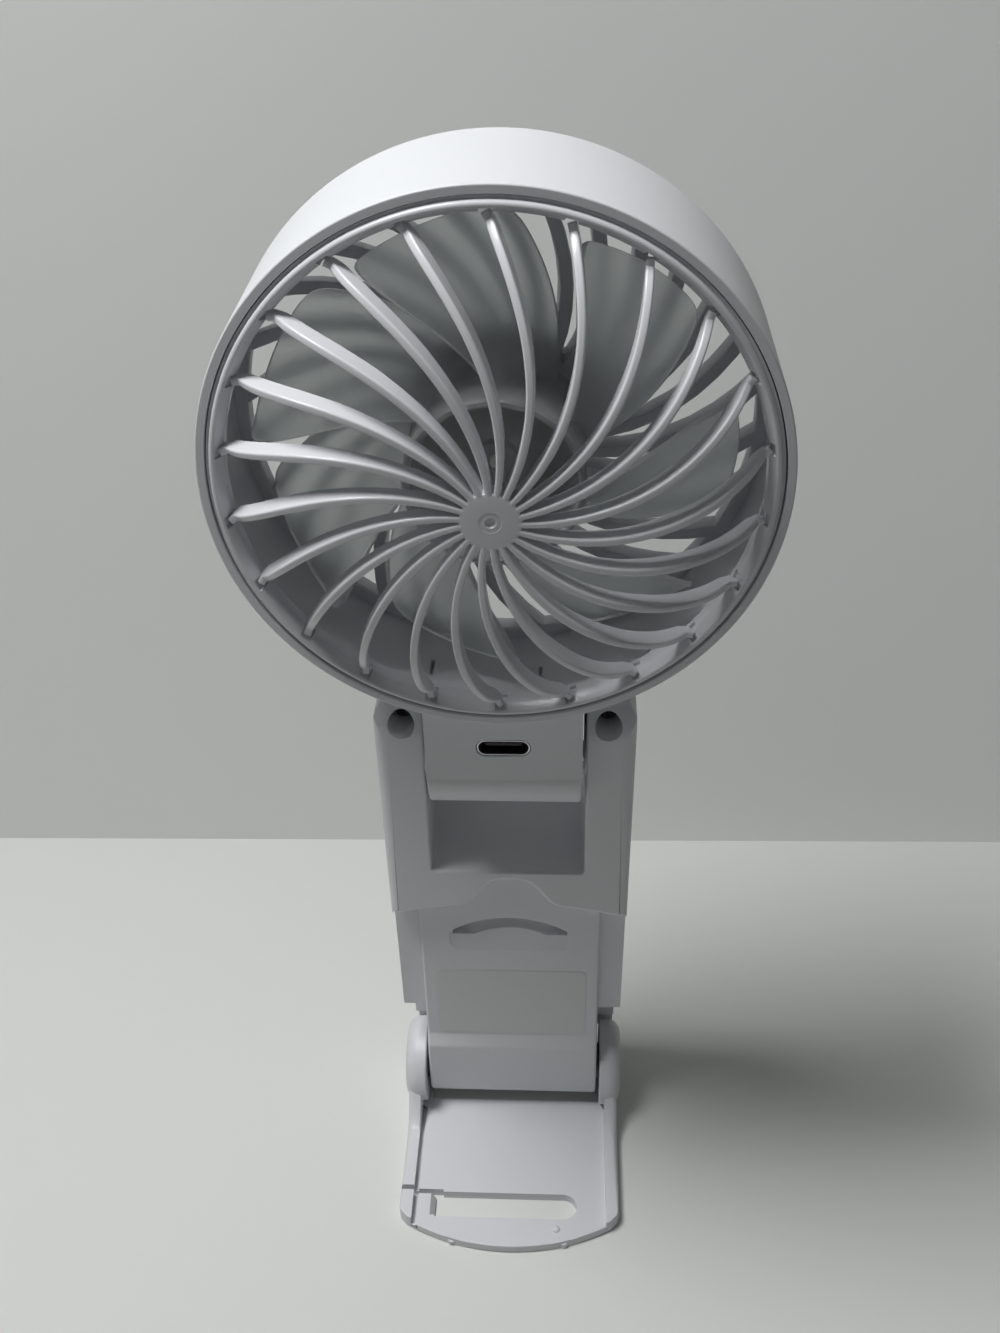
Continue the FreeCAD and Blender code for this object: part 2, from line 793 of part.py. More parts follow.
def charging_port():
    """Metal shell of the port with its contact tongue, on a small board."""
    outer = slot_tool("port_outer", "port_width", "port_thickness", "port_front", "port_depth", "port_height")
    inner = slot_tool("port_inner", "(port_width - 2 * port_wall)", "(port_thickness - 2 * port_wall)",
                      "port_front - play", "port_depth + play - port_wall", "port_height")
    shell = cut("port_shell", outer, inner)
    tongue = box("port_tongue",
                 ("-tongue_width / 2", "port_front + tongue_setback", "port_height - tongue_thickness / 2"),
                 ("tongue_width / 2", "port_front + port_depth - port_wall",
                  "port_height + tongue_thickness / 2"))
    top = "port_height - port_thickness / 2"
    board = box("charge_board",
                ("room + neck_wall - neck_half_width", "port_front + neck_wall",
                 top + " - charge_board_thickness"),
                ("neck_half_width - neck_wall - room", "port_front + neck_wall + charge_board_length", top))
    return shell, tongue, board


def hinge_pins():
    """Two headed pins, fast in the neck and running in the brackets."""
    parts = []
    inner = "neck_half_width - neck_wall - hinge_boss_length"
    starts = ((inner, "bracket_outer + play"),
              ("-(bracket_outer + play)", "-(bracket_outer + play + pin_head_thickness)"))
    for number, (start, head_start) in enumerate(starts, start=1):
        shank = rod("pin_shank_%d" % number, "x", "hinge_pin_radius", "bracket_outer + play - (%s)" % inner,
                    (start, "hinge_depth", "hinge_height"))
        head = rod("pin_head_%d" % number, "x", "pin_head_radius", "pin_head_thickness",
                   (head_start, "hinge_depth", "hinge_height"))
        parts.append(join("hinge_pin_%d" % number, shank, head))
    return group("hinge_pins", *parts)


# handle

def handle_form():
    """Outer form of the whole handle, before it is split and hollowed."""
    wide = "handle_half_width"
    plan = padded("handle_plan", "XY_Plane", [
        ("-" + wide, "upper_face"), (wide, "upper_face"), (wide, "handle_rear"), ("-" + wide, "handle_rear"),
    ], "2 * (handle_top + far_past)")
    upright = Vector(0, 0, 1)
    middle = value("(upper_face + handle_rear) / 2")
    soften(plan, "handle_round_front",
           lambda edge: runs_along(edge, upright) and edge.CenterOfMass.y < middle)
    soften(plan, "handle_round_rear",
           lambda edge: runs_along(edge, upright) and edge.CenterOfMass.y > value("handle_rear") - NEAR
           and abs(edge.CenterOfMass.x) > value("handle_half_width") - NEAR)
    side = padded("handle_side", "YZ_Plane", [
        ("0", "stand_axis_height"),
        ("toe_cut", "stand_floor + stop_gap"),
        ("stand_heel - heel_cut", "stand_floor + stop_gap"),
        ("handle_rear", "stand_axis_height"),
        ("handle_rear", "handle_top"),
        ("upper_face", "handle_top"),
        ("upper_face", "step_height - step_bow"),
        ("panel_face", "step_height - step_bow"),
        ("panel_face", "ledge_height"),
        ("-barrel_radius", "ledge_height - ledge_fall"),
        ("-barrel_radius", "stand_axis_height"),
    ], "2 * (handle_half_width + far_past)")
    top = value("handle_top")
    across = Vector(1, 0, 0)
    soften(side, "top_round", lambda edge: runs_along(edge, across) and edge.CenterOfMass.z > top - NEAR)
    barrel = rod("handle_barrel", "x", "barrel_radius", "2 * (handle_half_width + far_past)",
                 ("-handle_half_width - far_past", "0", "stand_axis_height"))
    front = padded("handle_front_view", "XZ_Plane", [
        ("handle_taper - handle_half_width", "-far_past"), ("handle_half_width - handle_taper", "-far_past"),
        (wide, "handle_top"), ("-" + wide, "handle_top"),
    ], "4 * (handle_rear + far_past)")
    depth = Vector(0, 1, 0)
    soften(front, "corner_round", lambda edge: runs_along(edge, depth) and edge.CenterOfMass.z > top - NEAR)
    return meet("handle_form", plan, join("handle_profile", side, barrel), front)


def handle_tools():
    """Everything taken from the handle's outer form."""
    far, deep = "handle_half_width + far_past", "handle_rear + far_past"
    ahead = "upper_face - far_past"

    def under_step(name, low, high, face):
        """What is taken in front of a face, up to the bowed line of the step."""
        bow = rod(name + "_bow", "y", "step_radius", "%s - (%s)" % (face, ahead),
                  ("0", ahead, "step_height - step_radius"))
        return meet(name, box(name + "_room", low, high), bow)
    tools = [
        box("fork_gap", ("-fork_half_gap", ahead, "fork_floor"),
            ("fork_half_gap", deep, "handle_top + far_past")),
        rod("pocket_scoop", "x", "pocket_round", "2 * fork_half_gap",
            ("-fork_half_gap", "upper_face", "pocket_axis_height")),
        rod("thumb_bump", "y", "bump_radius", "panel_face - (%s)" % ahead,
            ("0", ahead, "bump_top - bump_radius")),
        under_step("panel_step", ("-(%s)" % far, ahead, "step_height - step_bow - past"),
                   (far, "panel_face", "step_height + past"), "panel_face"),
    ]
    notch_inner = "barrel_half_width"
    for number, sign in enumerate(("", "-"), start=1):
        def span(near, away):
            """Low and high X of a stretch on this side."""
            return (near, away) if not sign else ("-(%s)" % away, "-(%s)" % near)
        low, high = span("panel_half_width", far)
        tools.append(under_step("side_strip_%d" % number, (low, ahead, "0"),
                                (high, "strip_face", "step_height"), "strip_face"))
        low, high = span(notch_inner, far)
        tools.append(box("ear_notch_%d" % number, (low, ahead, "-past"),
                         (high, "notch_depth", "notch_height")))
        tools.append(box("ear_floor_%d" % number, (low, ahead, "-past"), (high, deep, "stand_axis_height")))
        tools.append(rod("ear_sweep_%d" % number, "x", "stand_axis_height + ear_clearance",
                         "(%s) - (%s)" % (high, low), (low, "0", "stand_axis_height")))
    dish_turn = value("atan(dish_slope)")
    dish = doc.addObject("Part::Cylinder", "finger_dish")
    dish.Placement = Placement(Vector(), Rotation(Vector(1, 0, 0), 90 - dish_turn))
    bind(dish, "Radius", "dish_radius")
    bind(dish, "Height", "far_past + past")
    bind(dish, "Placement.Base.y", "panel_face + dish_depth - dish_slope * dish_radius")
    bind(dish, "Placement.Base.z", "dish_top - dish_radius")
    tools.append(dish)
    tools.append(rod("stand_bore", "x", "stand_pin_radius + stand_pin_fit", "2 * (barrel_half_width + past)",
                     ("-barrel_half_width - past", "0", "stand_axis_height")))
    return tools


def handle_cavity():
    """Hollow of the handle, kept a wall away from the pocket and the screws."""
    room = box("cavity_room", ("-cavity_half_width", "cavity_front", "notch_height + shell_wall"),
               ("cavity_half_width", "cavity_rear", "cheek_solid_base"))
    arms = box("cavity_arms", ("-cavity_half_width", "fork_cavity_front", "bump_top + shell_wall"),
               ("cavity_half_width", "cavity_rear", "cheek_solid_base"))
    foot = box("cavity_foot",
               ("shell_wall - barrel_half_width", "cavity_front", "stand_axis_height + barrel_radius"),
               ("barrel_half_width - shell_wall", "cavity_rear", "notch_height + shell_wall + past"))
    liner = box("pocket_liner", ("-bracket_inner", "upper_face - past", "fork_floor - shell_wall"),
                ("bracket_inner", "handle_rear + past", "handle_top + past"))
    scoop = rod("scoop_liner", "x", "pocket_round + shell_wall", "2 * bracket_inner",
                ("-bracket_inner", "upper_face", "pocket_axis_height"))
    posts = [rod("cover_post_%d" % number, "y", "cover_post_radius", "handle_rear - cavity_front + past",
                 (place, "cavity_front - past / 2", "cover_screw_height"))
             for number, place in enumerate(("-cover_screw_offset", "cover_screw_offset"), start=1)]
    return cut("handle_cavity", join("cavity_whole", room, arms, foot), liner, scoop, *posts)


def light_place(index):
    """How far to the side an indicator light sits."""
    return "(%d - (light_count - 1) / 2) * light_pitch" % index


def handle_shells():
    """Front shell with the fork and pocket, and the rear cover."""
    form = handle_form()
    tools = handle_tools() + [handle_cavity()]
    for number, sign in enumerate(("-", ""), start=1):
        place = sign + "cheek_screw_offset"
        tools.append(rod("cheek_recess_%d" % number, "y", "cheek_recess_radius", "cheek_recess_depth + past",
                         (place, "upper_face - past", "cheek_screw_height")))
        tools.append(rod("cheek_thread_%d" % number, "y", "cheek_screw_radius", "cavity_rear - cheek_seat",
                         (place, "cheek_seat", "cheek_screw_height")))
        seat = sign + "cover_screw_offset"
        tools.append(rod("cover_thread_%d" % number, "y", "cover_screw_radius",
                         "handle_rear - cavity_front - past",
                         (seat, "cavity_front + past", "cover_screw_height")))
        tools.append(rod("cover_seat_%d" % number, "y", "cover_screw_head + play", "cover_seat_depth + past",
                         (seat, "cover_seat", "cover_screw_height")))
        pin_low = "fork_half_gap - past" if not sign else "-(bracket_inner + past)"
        tools.append(rod("fork_pin_hole_%d" % number, "x", "hinge_pin_radius + fork_hole_play",
                         "shell_wall + 2 * past", (pin_low, "hinge_depth", "hinge_height")))
    whole = cut("handle_whole", form, *tools)
    button = rod("button_hole", "y", "button_radius + button_gap", "handle_rear",
                 ("0", "cavity_rear - past", "button_height"))
    lights = [rod("light_hole_%d" % index, "y", "light_radius", "handle_rear",
                  (light_place(index), "cavity_rear - past", "light_height"))
              for index in range(int(value("light_count")))]
    narrow, wide = "-handle_half_width - past", "handle_half_width + past"
    front_half = box("handle_front_half", (narrow, "upper_face - past", "-past"),
                     (wide, "split_face", "handle_top + past"))
    rear_half = box("handle_rear_half", (narrow, "split_face", "-past"),
                    (wide, "handle_rear + past", "handle_top + past"))
    front = meet("handle_front_shell", whole, front_half)
    rear = cut("handle_rear_cover", meet("cover_blank", whole, rear_half), button, *lights)
    return front, rear


def cheek_screws():
    """Two screws deep in the fork's recesses, into the rear cover."""
    parts = []
    for number, sign in enumerate(("-", ""), start=1):
        place = sign + "cheek_screw_offset"
        head = rod("cheek_head_%d" % number, "y", "cheek_screw_head", "screw_head_thickness",
                   (place, "cheek_seat - screw_head_thickness", "cheek_screw_height"))
        shank = rod("cheek_shank_%d" % number, "y", "cheek_screw_radius", "cavity_rear - cheek_seat",
                    (place, "cheek_seat", "cheek_screw_height"))
        parts.append(join("cheek_screw_%d" % number, head, shank))
    return group("cheek_screws", *parts)


def cover_screws():
    """Two screws from the rear that hold the cover on its posts."""
    parts = []
    for number, sign in enumerate(("-", ""), start=1):
        place = sign + "cover_screw_offset"
        shank = rod("cover_shank_%d" % number, "y", "cover_screw_radius", "cover_seat - cavity_front - past",
                    (place, "cavity_front + past", "cover_screw_height"))
        head = rod("cover_head_%d" % number, "y", "cover_screw_head", "cover_screw_head_thickness",
                   (place, "cover_seat", "cover_screw_height"))
        parts.append(join("cover_screw_%d" % number, shank, head))
    return group("cover_screws", *parts)


def hinge_brackets():
    """Metal bearing blocks for the hinge pins, one in each arm of the fork."""
    parts = []
    spans = (("bracket_inner", "bracket_outer"), ("-bracket_outer", "-bracket_inner"))
    for number, (low, high) in enumerate(spans, start=1):
        block = box("bracket_block_%d" % number,
                    (low, "fork_cavity_front", "hinge_height - bracket_height / 2"),
                    (high, "fork_cavity_front + bracket_depth", "hinge_height + bracket_height / 2"))
        bore = rod("bracket_bore_%d" % number, "x", "hinge_pin_radius + hinge_fit", "bracket_width",
                   (low, "hinge_depth", "hinge_height"))
        parts.append(cut("hinge_bracket_%d" % number, block, bore))
    return group("hinge_brackets", *parts)


def handle_contents():
    """Cell, foam pad, main board, switch and indicator chips."""
    cell = box("battery_cell", ("-battery_width / 2", "cell_front", "battery_base"),
               ("battery_width / 2", "cell_rear", "battery_base + battery_length"))
    pad = box("battery_pad", ("pad_inset - battery_width / 2", "cell_rear", "battery_base + pad_inset"),
              ("battery_width / 2 - pad_inset", "board_front", "battery_base + battery_length - pad_inset"))
    board = box("main_board", ("-board_width / 2", "board_front", "battery_base"),
                ("board_width / 2", "board_rear", "battery_base + board_length"))
    half = "switch_width / 2"
    switch = box("power_switch", ("-" + half, "board_rear", "button_height - " + half),
                 (half, "switch_rear", "button_height + " + half))
    chips, windows = [], []
    for index in range(int(value("light_count"))):
        place = light_place(index)
        chips.append(box("light_chip_%d" % index,
                         (place + " - light_radius", "board_rear", "light_height - light_radius"),
                         (place + " + light_radius", "chip_rear", "light_height + light_radius")))
        windows.append(rod("light_rod_%d" % index, "y", "light_radius - light_fit",
                           "handle_rear - chip_rear - play", (place, "chip_rear + play", "light_height")))
    return cell, pad, board, switch, group("indicator_chips", *chips), group("light_windows", *windows)


def power_button():
    """Round cap with a retaining flange and the stem that works the switch."""
    root = "(button_inner + button_backing)"
    tip = "(switch_rear + button_travel + button_slack)"
    cap = rod("button_cap", "y", "button_radius", "handle_rear + button_proud - " + root,
              ("0", root, "button_height"))
    flange = rod("button_ring", "y", "button_radius + button_collar", "button_flange",
                 ("0", "button_inner", "button_height"))
    stem = rod("button_stem", "y", "plunger_radius", root + " - " + tip, ("0", tip, "button_height"))
    return join("power_button", cap, flange, stem)


def label_plate():
    """Bare label on the lower front panel."""
    return box("label_plate", ("-label_width / 2", "panel_face - label_thickness", "label_base"),
               ("label_width / 2", "panel_face", "label_base + label_length"))


# stand

def stand_plate():
    """Base plate with side rims that rise into the hinge ears."""
    floor = box("stand_sheet", ("-stand_half_width", "-stand_reach", "0"),
                ("stand_half_width", "stand_heel", "stand_floor"))
    rims = []
    ears = []
    for number, (mark, start) in enumerate((("", "ear_inner"), ("-", "-ear_half_width")), start=1):
        plan = padded("rim_plan_%d" % number, "XY_Plane", [
            (mark + "ear_inner", "0"),
            (mark + "rim_inner", "-web_length"),
            (mark + "rim_inner", "-stand_reach - past"),
            (mark + "stand_half_width", "-stand_reach - past"),
            (mark + "stand_half_width", "0"),
        ], "2 * (web_top + far_past)")
        rims.append(plan)
        disc = rod("ear_disc_%d" % number, "x", "stand_axis_height", "ear_half_width - ear_inner",
                   (start, "0", "stand_axis_height"))
        doc.recompute()
        outer = value(mark + "ear_half_width")
        edges = [index for index, edge in enumerate(disc.Shape.Edges, start=1)
                 if abs(edge.CenterOfMass.x - outer) < NEAR and len(edge.Vertexes) == 1]
        ear = doc.addObject("Part::Fillet", "ear_%d" % number)
        ear.Base = disc
        ear.Edges = [(index, value("ear_round"), value("ear_round")) for index in edges]
        ears.append(ear)
    side = padded("rim_side", "YZ_Plane", [
        ("0", "0"),
        ("-stand_reach - past", "0"),
        ("-stand_reach - past", "rim_height"),
        ("-web_length", "rim_height"),
        ("-web_shoulder", "web_top"),
        ("0", "web_top"),
    ], "2 * (stand_half_width + far_past)")
    walls = meet("stand_rims", join("rim_plans", *rims), side)
    blank = join("stand_blank", floor, walls, *ears)
    tip = rod("stand_tip", "z", "stand_tip_radius", "stand_tip_radius",
              ("0", "stand_tip_radius - stand_reach", "-past"))
    nub_place = "stand_tip_radius - stand_reach - sqrt(stand_tip_radius^2 - nub_offset^2) + nub_inset"
    nubs = [rod("stand_nub_%d" % number, "z", "nub_radius", "nub_height", (place, nub_place, "0"))
            for number, place in enumerate(("-nub_offset", "nub_offset"), start=1)]
    shape = join("stand_trimmed", meet("stand_outline", blank, tip), *nubs)
    radius = "slot_width / 2"
    slit = "slot_front + slot_width - slit_overlap"
    slot = [
        box("slot_middle", ("slot_left", "slot_front", "-past"),
            ("slot_right - " + radius, "slot_front + slot_width", "stand_floor + past")),
        rod("slot_end", "z", radius, "stand_floor + 2 * past",
            ("slot_right - " + radius, "slot_front + " + radius, "-past")),
        box("slot_slit", ("-stand_half_width - past", slit, "-past"),
            ("slot_left + slit_reach", slit + " + slit_width", "rim_height + past")),
        rod("ear_bore", "x", "stand_pin_radius", "2 * (ear_half_width - stand_pin_inset)",
            ("stand_pin_inset - ear_half_width", "0", "stand_axis_height")),
    ]
    return cut("stand_plate", shape, *slot)


def stand_hardware():
    """Hinge pin through the barrel and a friction washer at each end."""
    pin = rod("stand_pin", "x", "stand_pin_radius", "2 * (ear_half_width - stand_pin_inset)",
              ("stand_pin_inset - ear_half_width", "0", "stand_axis_height"))
    washers = []
    for number, start in enumerate(("barrel_half_width + (stand_gap - washer_thickness) / 2",
                                    "-(barrel_half_width + (stand_gap + washer_thickness) / 2)"), start=1):
        disc = rod("washer_disc_%d" % number, "x", "washer_radius", "washer_thickness",
                   (start, "0", "stand_axis_height"))
        hole = rod("washer_hole_%d" % number, "x", "stand_pin_radius + washer_fit", "washer_thickness",
                   (start, "0", "stand_axis_height"))
        washers.append(cut("stand_washer_%d" % number, disc, hole))
    return pin, group("stand_washers", *washers)


def main():
    """Build every piece, check it and write it out."""
    fill_sheet()
    nodes = [drum_shell(), front_grille(), rear_grille(), fan_rotor(), motor_shaft(), rotor_magnet(),
             motor_bearing(), motor_stator(), motor_board()]
    nodes += neck_shells(neck_solids())
    nodes += [neck_screws(), *charging_port(), hinge_pins()]
    nodes += handle_shells()
    nodes += [cheek_screws(), cover_screws(), hinge_brackets(), *handle_contents(), power_button()]
    nodes += [label_plate()]
    nodes += [stand_plate(), *stand_hardware()]
    doc.recompute()
    faults = [item.Name for item in doc.Objects if "Invalid" in item.State or "Error" in item.State]
    for node in nodes:
        node.Label = node.Name
        if node.Shape.isNull() or not node.Shape.isValid() or not node.Shape.Solids:
            faults.append(node.Name)
    if faults:
        sys.exit("faulty objects: " + ", ".join(faults))
    os.makedirs("parts", exist_ok=True)
    for node in nodes:
        node.Shape.exportStep("parts/%s.step" % node.Label)
        extent = node.Shape.BoundBox
        print("%-20s solids %d volume %9.2f  x %.2f..%.2f  y %.2f..%.2f  z %.2f..%.2f" % (
            node.Label, len(node.Shape.Solids), node.Shape.Volume,
            extent.XMin, extent.XMax, extent.YMin, extent.YMax, extent.ZMin, extent.ZMax))


main()
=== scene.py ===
"""Folding handheld fan on its own stand: looks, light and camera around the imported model.

Sizes in the classes are millimetres in the model's frame: X to the right seen from the
front, Y to the rear, Z up, with the origin on the resting plane under the stand's hinge.
"""

import json
import logging
import math
from contextlib import contextmanager
from dataclasses import dataclass
from enum import Enum
from typing import Callable, Iterator, Sequence

import bmesh
import bpy
from mathutils import Euler, Matrix, Vector

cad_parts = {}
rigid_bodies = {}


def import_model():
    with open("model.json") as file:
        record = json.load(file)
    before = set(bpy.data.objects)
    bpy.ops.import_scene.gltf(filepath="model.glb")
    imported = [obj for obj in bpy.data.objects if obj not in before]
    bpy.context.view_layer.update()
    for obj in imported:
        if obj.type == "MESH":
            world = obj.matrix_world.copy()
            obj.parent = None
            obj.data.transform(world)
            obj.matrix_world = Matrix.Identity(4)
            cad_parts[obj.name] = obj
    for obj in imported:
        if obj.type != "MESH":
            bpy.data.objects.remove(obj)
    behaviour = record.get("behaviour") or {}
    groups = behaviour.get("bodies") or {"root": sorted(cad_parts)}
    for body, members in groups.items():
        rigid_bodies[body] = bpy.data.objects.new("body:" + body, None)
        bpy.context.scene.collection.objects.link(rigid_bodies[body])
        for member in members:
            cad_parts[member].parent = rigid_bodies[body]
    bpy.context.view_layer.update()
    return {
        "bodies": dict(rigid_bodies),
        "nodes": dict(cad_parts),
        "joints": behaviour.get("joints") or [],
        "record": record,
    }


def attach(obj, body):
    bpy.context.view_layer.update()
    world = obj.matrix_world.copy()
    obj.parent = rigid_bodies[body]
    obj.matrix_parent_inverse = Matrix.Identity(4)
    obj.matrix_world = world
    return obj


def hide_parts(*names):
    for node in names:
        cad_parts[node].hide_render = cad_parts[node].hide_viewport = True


MM = 0.001
FULL_TURN = 2 * math.pi
UP = Vector((0, 0, 1))
# places closer than NEAR count as one, and an edge shorter than SLIVER is closed up
NEAR = 0.05
SLIVER = 0.004
# sharpest turn between two faces, in degrees, that is still shaded smooth
SMOOTH_BELOW = 35

# places and sizes that several sub-assemblies share
FAN_HEIGHT = 155.4
DRUM_RADIUS = 41.6
DRUM_REAR = 5.92
DRUM_STEPS = 176
HINGE_DEPTH = -2.86
HINGE_HEIGHT = 95.0
STAND_AXIS = 9.2
BUTTON_HEIGHT = 63.0

log = logging.getLogger("fan")
Pair = tuple[float, float]
Point = Sequence[float]
Test = Callable[[object], bool]


class Body(Enum):
    """Moving bodies that a piece can ride on."""

    HANDLE = "handle"
    HEAD = "head"
    ROTOR = "rotor"
    STAND = "stand"
    BUTTON = "button"


class Axis(Enum):
    """Directions that a turn or a prism can follow."""

    X = Vector((1, 0, 0))
    Y = Vector((0, 1, 0))
    Z = Vector((0, 0, 1))


# working a mesh by hand

def put_down() -> None:
    """Leave nothing selected."""
    bpy.ops.object.select_all(action="DESELECT")


def take(piece: bpy.types.Object) -> None:
    """Select one piece alone and make it the active one.

    Args:
        piece: the object to work on.
    """
    put_down()
    piece.select_set(True)
    bpy.context.view_layer.objects.active = piece


@contextmanager
def editing(piece: bpy.types.Object) -> Iterator[None]:
    """Work on a piece in edit mode for as long as the block lasts.

    Args:
        piece: the object to edit.

    Returns:
        The context manager.
    """
    take(piece)
    bpy.ops.object.mode_set(mode="EDIT")
    bpy.ops.mesh.select_mode(type="VERT")
    bpy.ops.mesh.select_all(action="SELECT")
    yield
    bpy.ops.object.mode_set(mode="OBJECT")


def choose(piece: bpy.types.Object, kind: str, test: Test) -> int:
    """Select the parts of a mesh in edit mode that a test accepts.

    Args:
        piece: the object in edit mode.
        kind: "VERT", "EDGE" or "FACE".
        test: tells whether a vertex, edge or face is wanted.

    Returns:
        How many were selected.
    """
    bpy.ops.mesh.select_mode(type=kind)
    bpy.ops.mesh.select_all(action="DESELECT")
    mesh = bmesh.from_edit_mesh(piece.data)
    pool = {"VERT": mesh.verts, "EDGE": mesh.edges, "FACE": mesh.faces}[kind]
    wanted = [item for item in pool if test(item)]
    for item in wanted:
        item.select_set(True)
    mesh.select_flush_mode()
    bmesh.update_edit_mesh(piece.data)
    return len(wanted)


def turn(angle: float, axis: Axis, centre: Point) -> None:
    """Turn what is selected in edit mode by the right-hand rule.

    Args:
        angle: radians.
        axis: the direction of the axis.
        centre: a point on the axis.
    """
    bpy.ops.transform.rotate(value=-angle, orient_axis=axis.name, orient_type="GLOBAL",
                             center_override=centre)


def stretch(factors: Point, centre: Point) -> None:
    """Scale what is selected in edit mode about a centre."""
    bpy.ops.transform.resize(value=factors, orient_type="GLOBAL", center_override=centre)


def move(shift: Point) -> None:
    """Shift what is selected in edit mode."""
    bpy.ops.transform.translate(value=shift, orient_type="GLOBAL")


def push_out(shift: Point) -> None:
    """Extrude what is selected in edit mode."""
    bpy.ops.mesh.extrude_region_move(TRANSFORM_OT_translate={"value": shift, "orient_type": "GLOBAL"})


def draw_line(name: str, points: Sequence[Point]) -> bpy.types.Object:
    """Draw a run of edges point by point.

    Args:
        name: name of the new piece.
        points: where the run goes.

    Returns:
        The new piece, with its origin at the world's origin.
    """
    put_down()
    corners = [Vector(point) for point in points]
    bpy.ops.mesh.primitive_plane_add(size=1, location=corners[0])
    piece = bpy.context.object
    piece.name = name
    bpy.ops.object.transform_apply(location=True, rotation=True, scale=True)
    with editing(piece):
        bpy.ops.mesh.merge(type="CENTER")
        for start, end in zip(corners, corners[1:]):
            bpy.ops.mesh.extrude_vertices_move(TRANSFORM_OT_translate={"value": end - start})
    return piece


def draw_face(name: str, points: Sequence[Point]) -> bpy.types.Object:
    """Draw a closed outline and fill it with one face.

    Args:
        name: name of the new piece.
        points: corners of the outline.

    Returns:
        The new piece.
    """
    piece = draw_line(name, points)
    with editing(piece):
        bpy.ops.mesh.edge_face_add()
    return piece


def draw_prism(name: str, points: Sequence[Point], shift: Point) -> bpy.types.Object:
    """Draw a filled outline and extrude it into a closed prism.

    Args:
        name: name of the new piece.
        points: corners of the outline.
        shift: how far and which way it is extruded.

    Returns:
        The new piece.
    """
    piece = draw_face(name, points)
    with editing(piece):
        push_out(shift)
        bpy.ops.mesh.select_all(action="SELECT")
        bpy.ops.mesh.normals_make_consistent(inside=False)
    return piece


def arc(centre: Pair, radius: float, start: float, end: float, steps: int) -> list[Pair]:
    """Points on an arc in a flat outline.

    Args:
        centre: middle of the arc.
        radius: its radius.
        start: first angle in degrees, from the outline's first direction.
        end: last angle in degrees.
        steps: number of straight runs.

    Returns:
        The points, both ends included.
    """
    spots = []
    for index in range(steps + 1):
        angle = math.radians(start + (end - start) * index / steps)
        spots.append((centre[0] + radius * math.cos(angle), centre[1] + radius * math.sin(angle)))
    return spots


def soft_outline(corners: Sequence[tuple[float, float, float]], steps: int = 4) -> list[Pair]:
    """Outline whose corners are rounded, each by its own radius.

    Args:
        corners: two places and a radius for each corner.
        steps: straight runs in each rounding.

    Returns:
        The outline's points.
    """
    spots = []
    count = len(corners)
    for index, (across, up, radius) in enumerate(corners):
        here = Vector((across, up))
        if radius == 0:
            spots.append((across, up))
            continue
        back = (Vector(corners[index - 1][:2]) - here).normalized()
        ahead = (Vector(corners[(index + 1) % count][:2]) - here).normalized()
        half = back.angle(ahead) / 2
        middle = here + (back + ahead).normalized() * (radius / math.sin(half))
        first = here + back * (radius / math.tan(half)) - middle
        last = here + ahead * (radius / math.tan(half)) - middle
        begin = math.atan2(first.y, first.x)
        sweep = (math.atan2(last.y, last.x) - begin + math.pi) % FULL_TURN - math.pi
        spots += arc((middle.x, middle.y), radius, math.degrees(begin), math.degrees(begin + sweep), steps)
    return spots


def block(name: str, outline: Sequence[Pair], axis: Axis, start: float, end: float) -> bpy.types.Object:
    """Closed prism of a flat outline between two places on an axis.

    Args:
        name: name of the new piece.
        outline: pairs across the axis, in the order of the world's other two directions.
        axis: the direction of the prism.
        start: where the outline is drawn.
        end: where the prism ends.

    Returns:
        The new piece.
    """
    lay = {Axis.X: lambda first, second: (start, first, second),
           Axis.Y: lambda first, second: (first, start, second),
           Axis.Z: lambda first, second: (first, second, start)}[axis]
    return draw_prism(name, [lay(first, second) for first, second in outline], axis.value * (end - start))
def box(name: str, low: Point, high: Point, axis: Axis = Axis.Z) -> bpy.types.Object:
    """Closed box between two opposite corners.

    Args:
        name: name of the new piece.
        low: the corner where the box starts.
        high: the corner where it ends.
        axis: the direction that it is drawn along.

    Returns:
        The new piece.
    """
    first, second, along = {Axis.X: (1, 2, 0), Axis.Y: (0, 2, 1), Axis.Z: (0, 1, 2)}[axis]
    outline = [(low[first], low[second]), (high[first], low[second]),
               (high[first], high[second]), (low[first], high[second])]
    return block(name, outline, axis, low[along], high[along])


def draw_turned(name: str, section: Sequence[Pair], centre: Point, axis: Axis, steps: int,
                closed: bool = True) -> bpy.types.Object:
    """Spin a section into a solid of revolution.

    Args:
        name: name of the new piece.
        section: pairs of place along the axis and radius.
        centre: a point on the axis from which the places are measured.
        axis: the direction of the axis.
        steps: facets in a full turn.
        closed: whether the section's last point joins its first, as for a ring.

    Returns:
        The new piece.
    """
    out = UP if axis is not Axis.Z else Vector((1, 0, 0))
    base = Vector(centre)
    points = [base + axis.value * along + out * radius for along, radius in section]
    if closed:
        points.append(points[0])
    piece = draw_line(name, points)
    with editing(piece):
        bpy.ops.mesh.spin(steps=steps, angle=FULL_TURN, center=base, axis=axis.value)
        bpy.ops.mesh.select_all(action="SELECT")
        bpy.ops.mesh.remove_doubles(threshold=1e-3)
        bpy.ops.mesh.normals_make_consistent(inside=False)
    return piece


def apply_all(piece: bpy.types.Object) -> None:
    """Apply every modifier of a piece in order.

    Args:
        piece: the piece that carries them.
    """
    take(piece)
    for modifier in list(piece.modifiers):
        bpy.ops.object.modifier_apply(modifier=modifier.name)


def combine(piece: bpy.types.Object, tool: bpy.types.Object, operation: str) -> None:
    """Run one boolean with another piece, which is used up.

    Args:
        piece: the piece that is changed.
        tool: the other piece.
        operation: "UNION", "INTERSECT" or "DIFFERENCE".
    """
    modifier = piece.modifiers.new("combine", "BOOLEAN")
    modifier.operation = operation
    modifier.solver = "EXACT"
    modifier.object = tool
    apply_all(piece)
    bpy.data.objects.remove(tool, do_unlink=True)


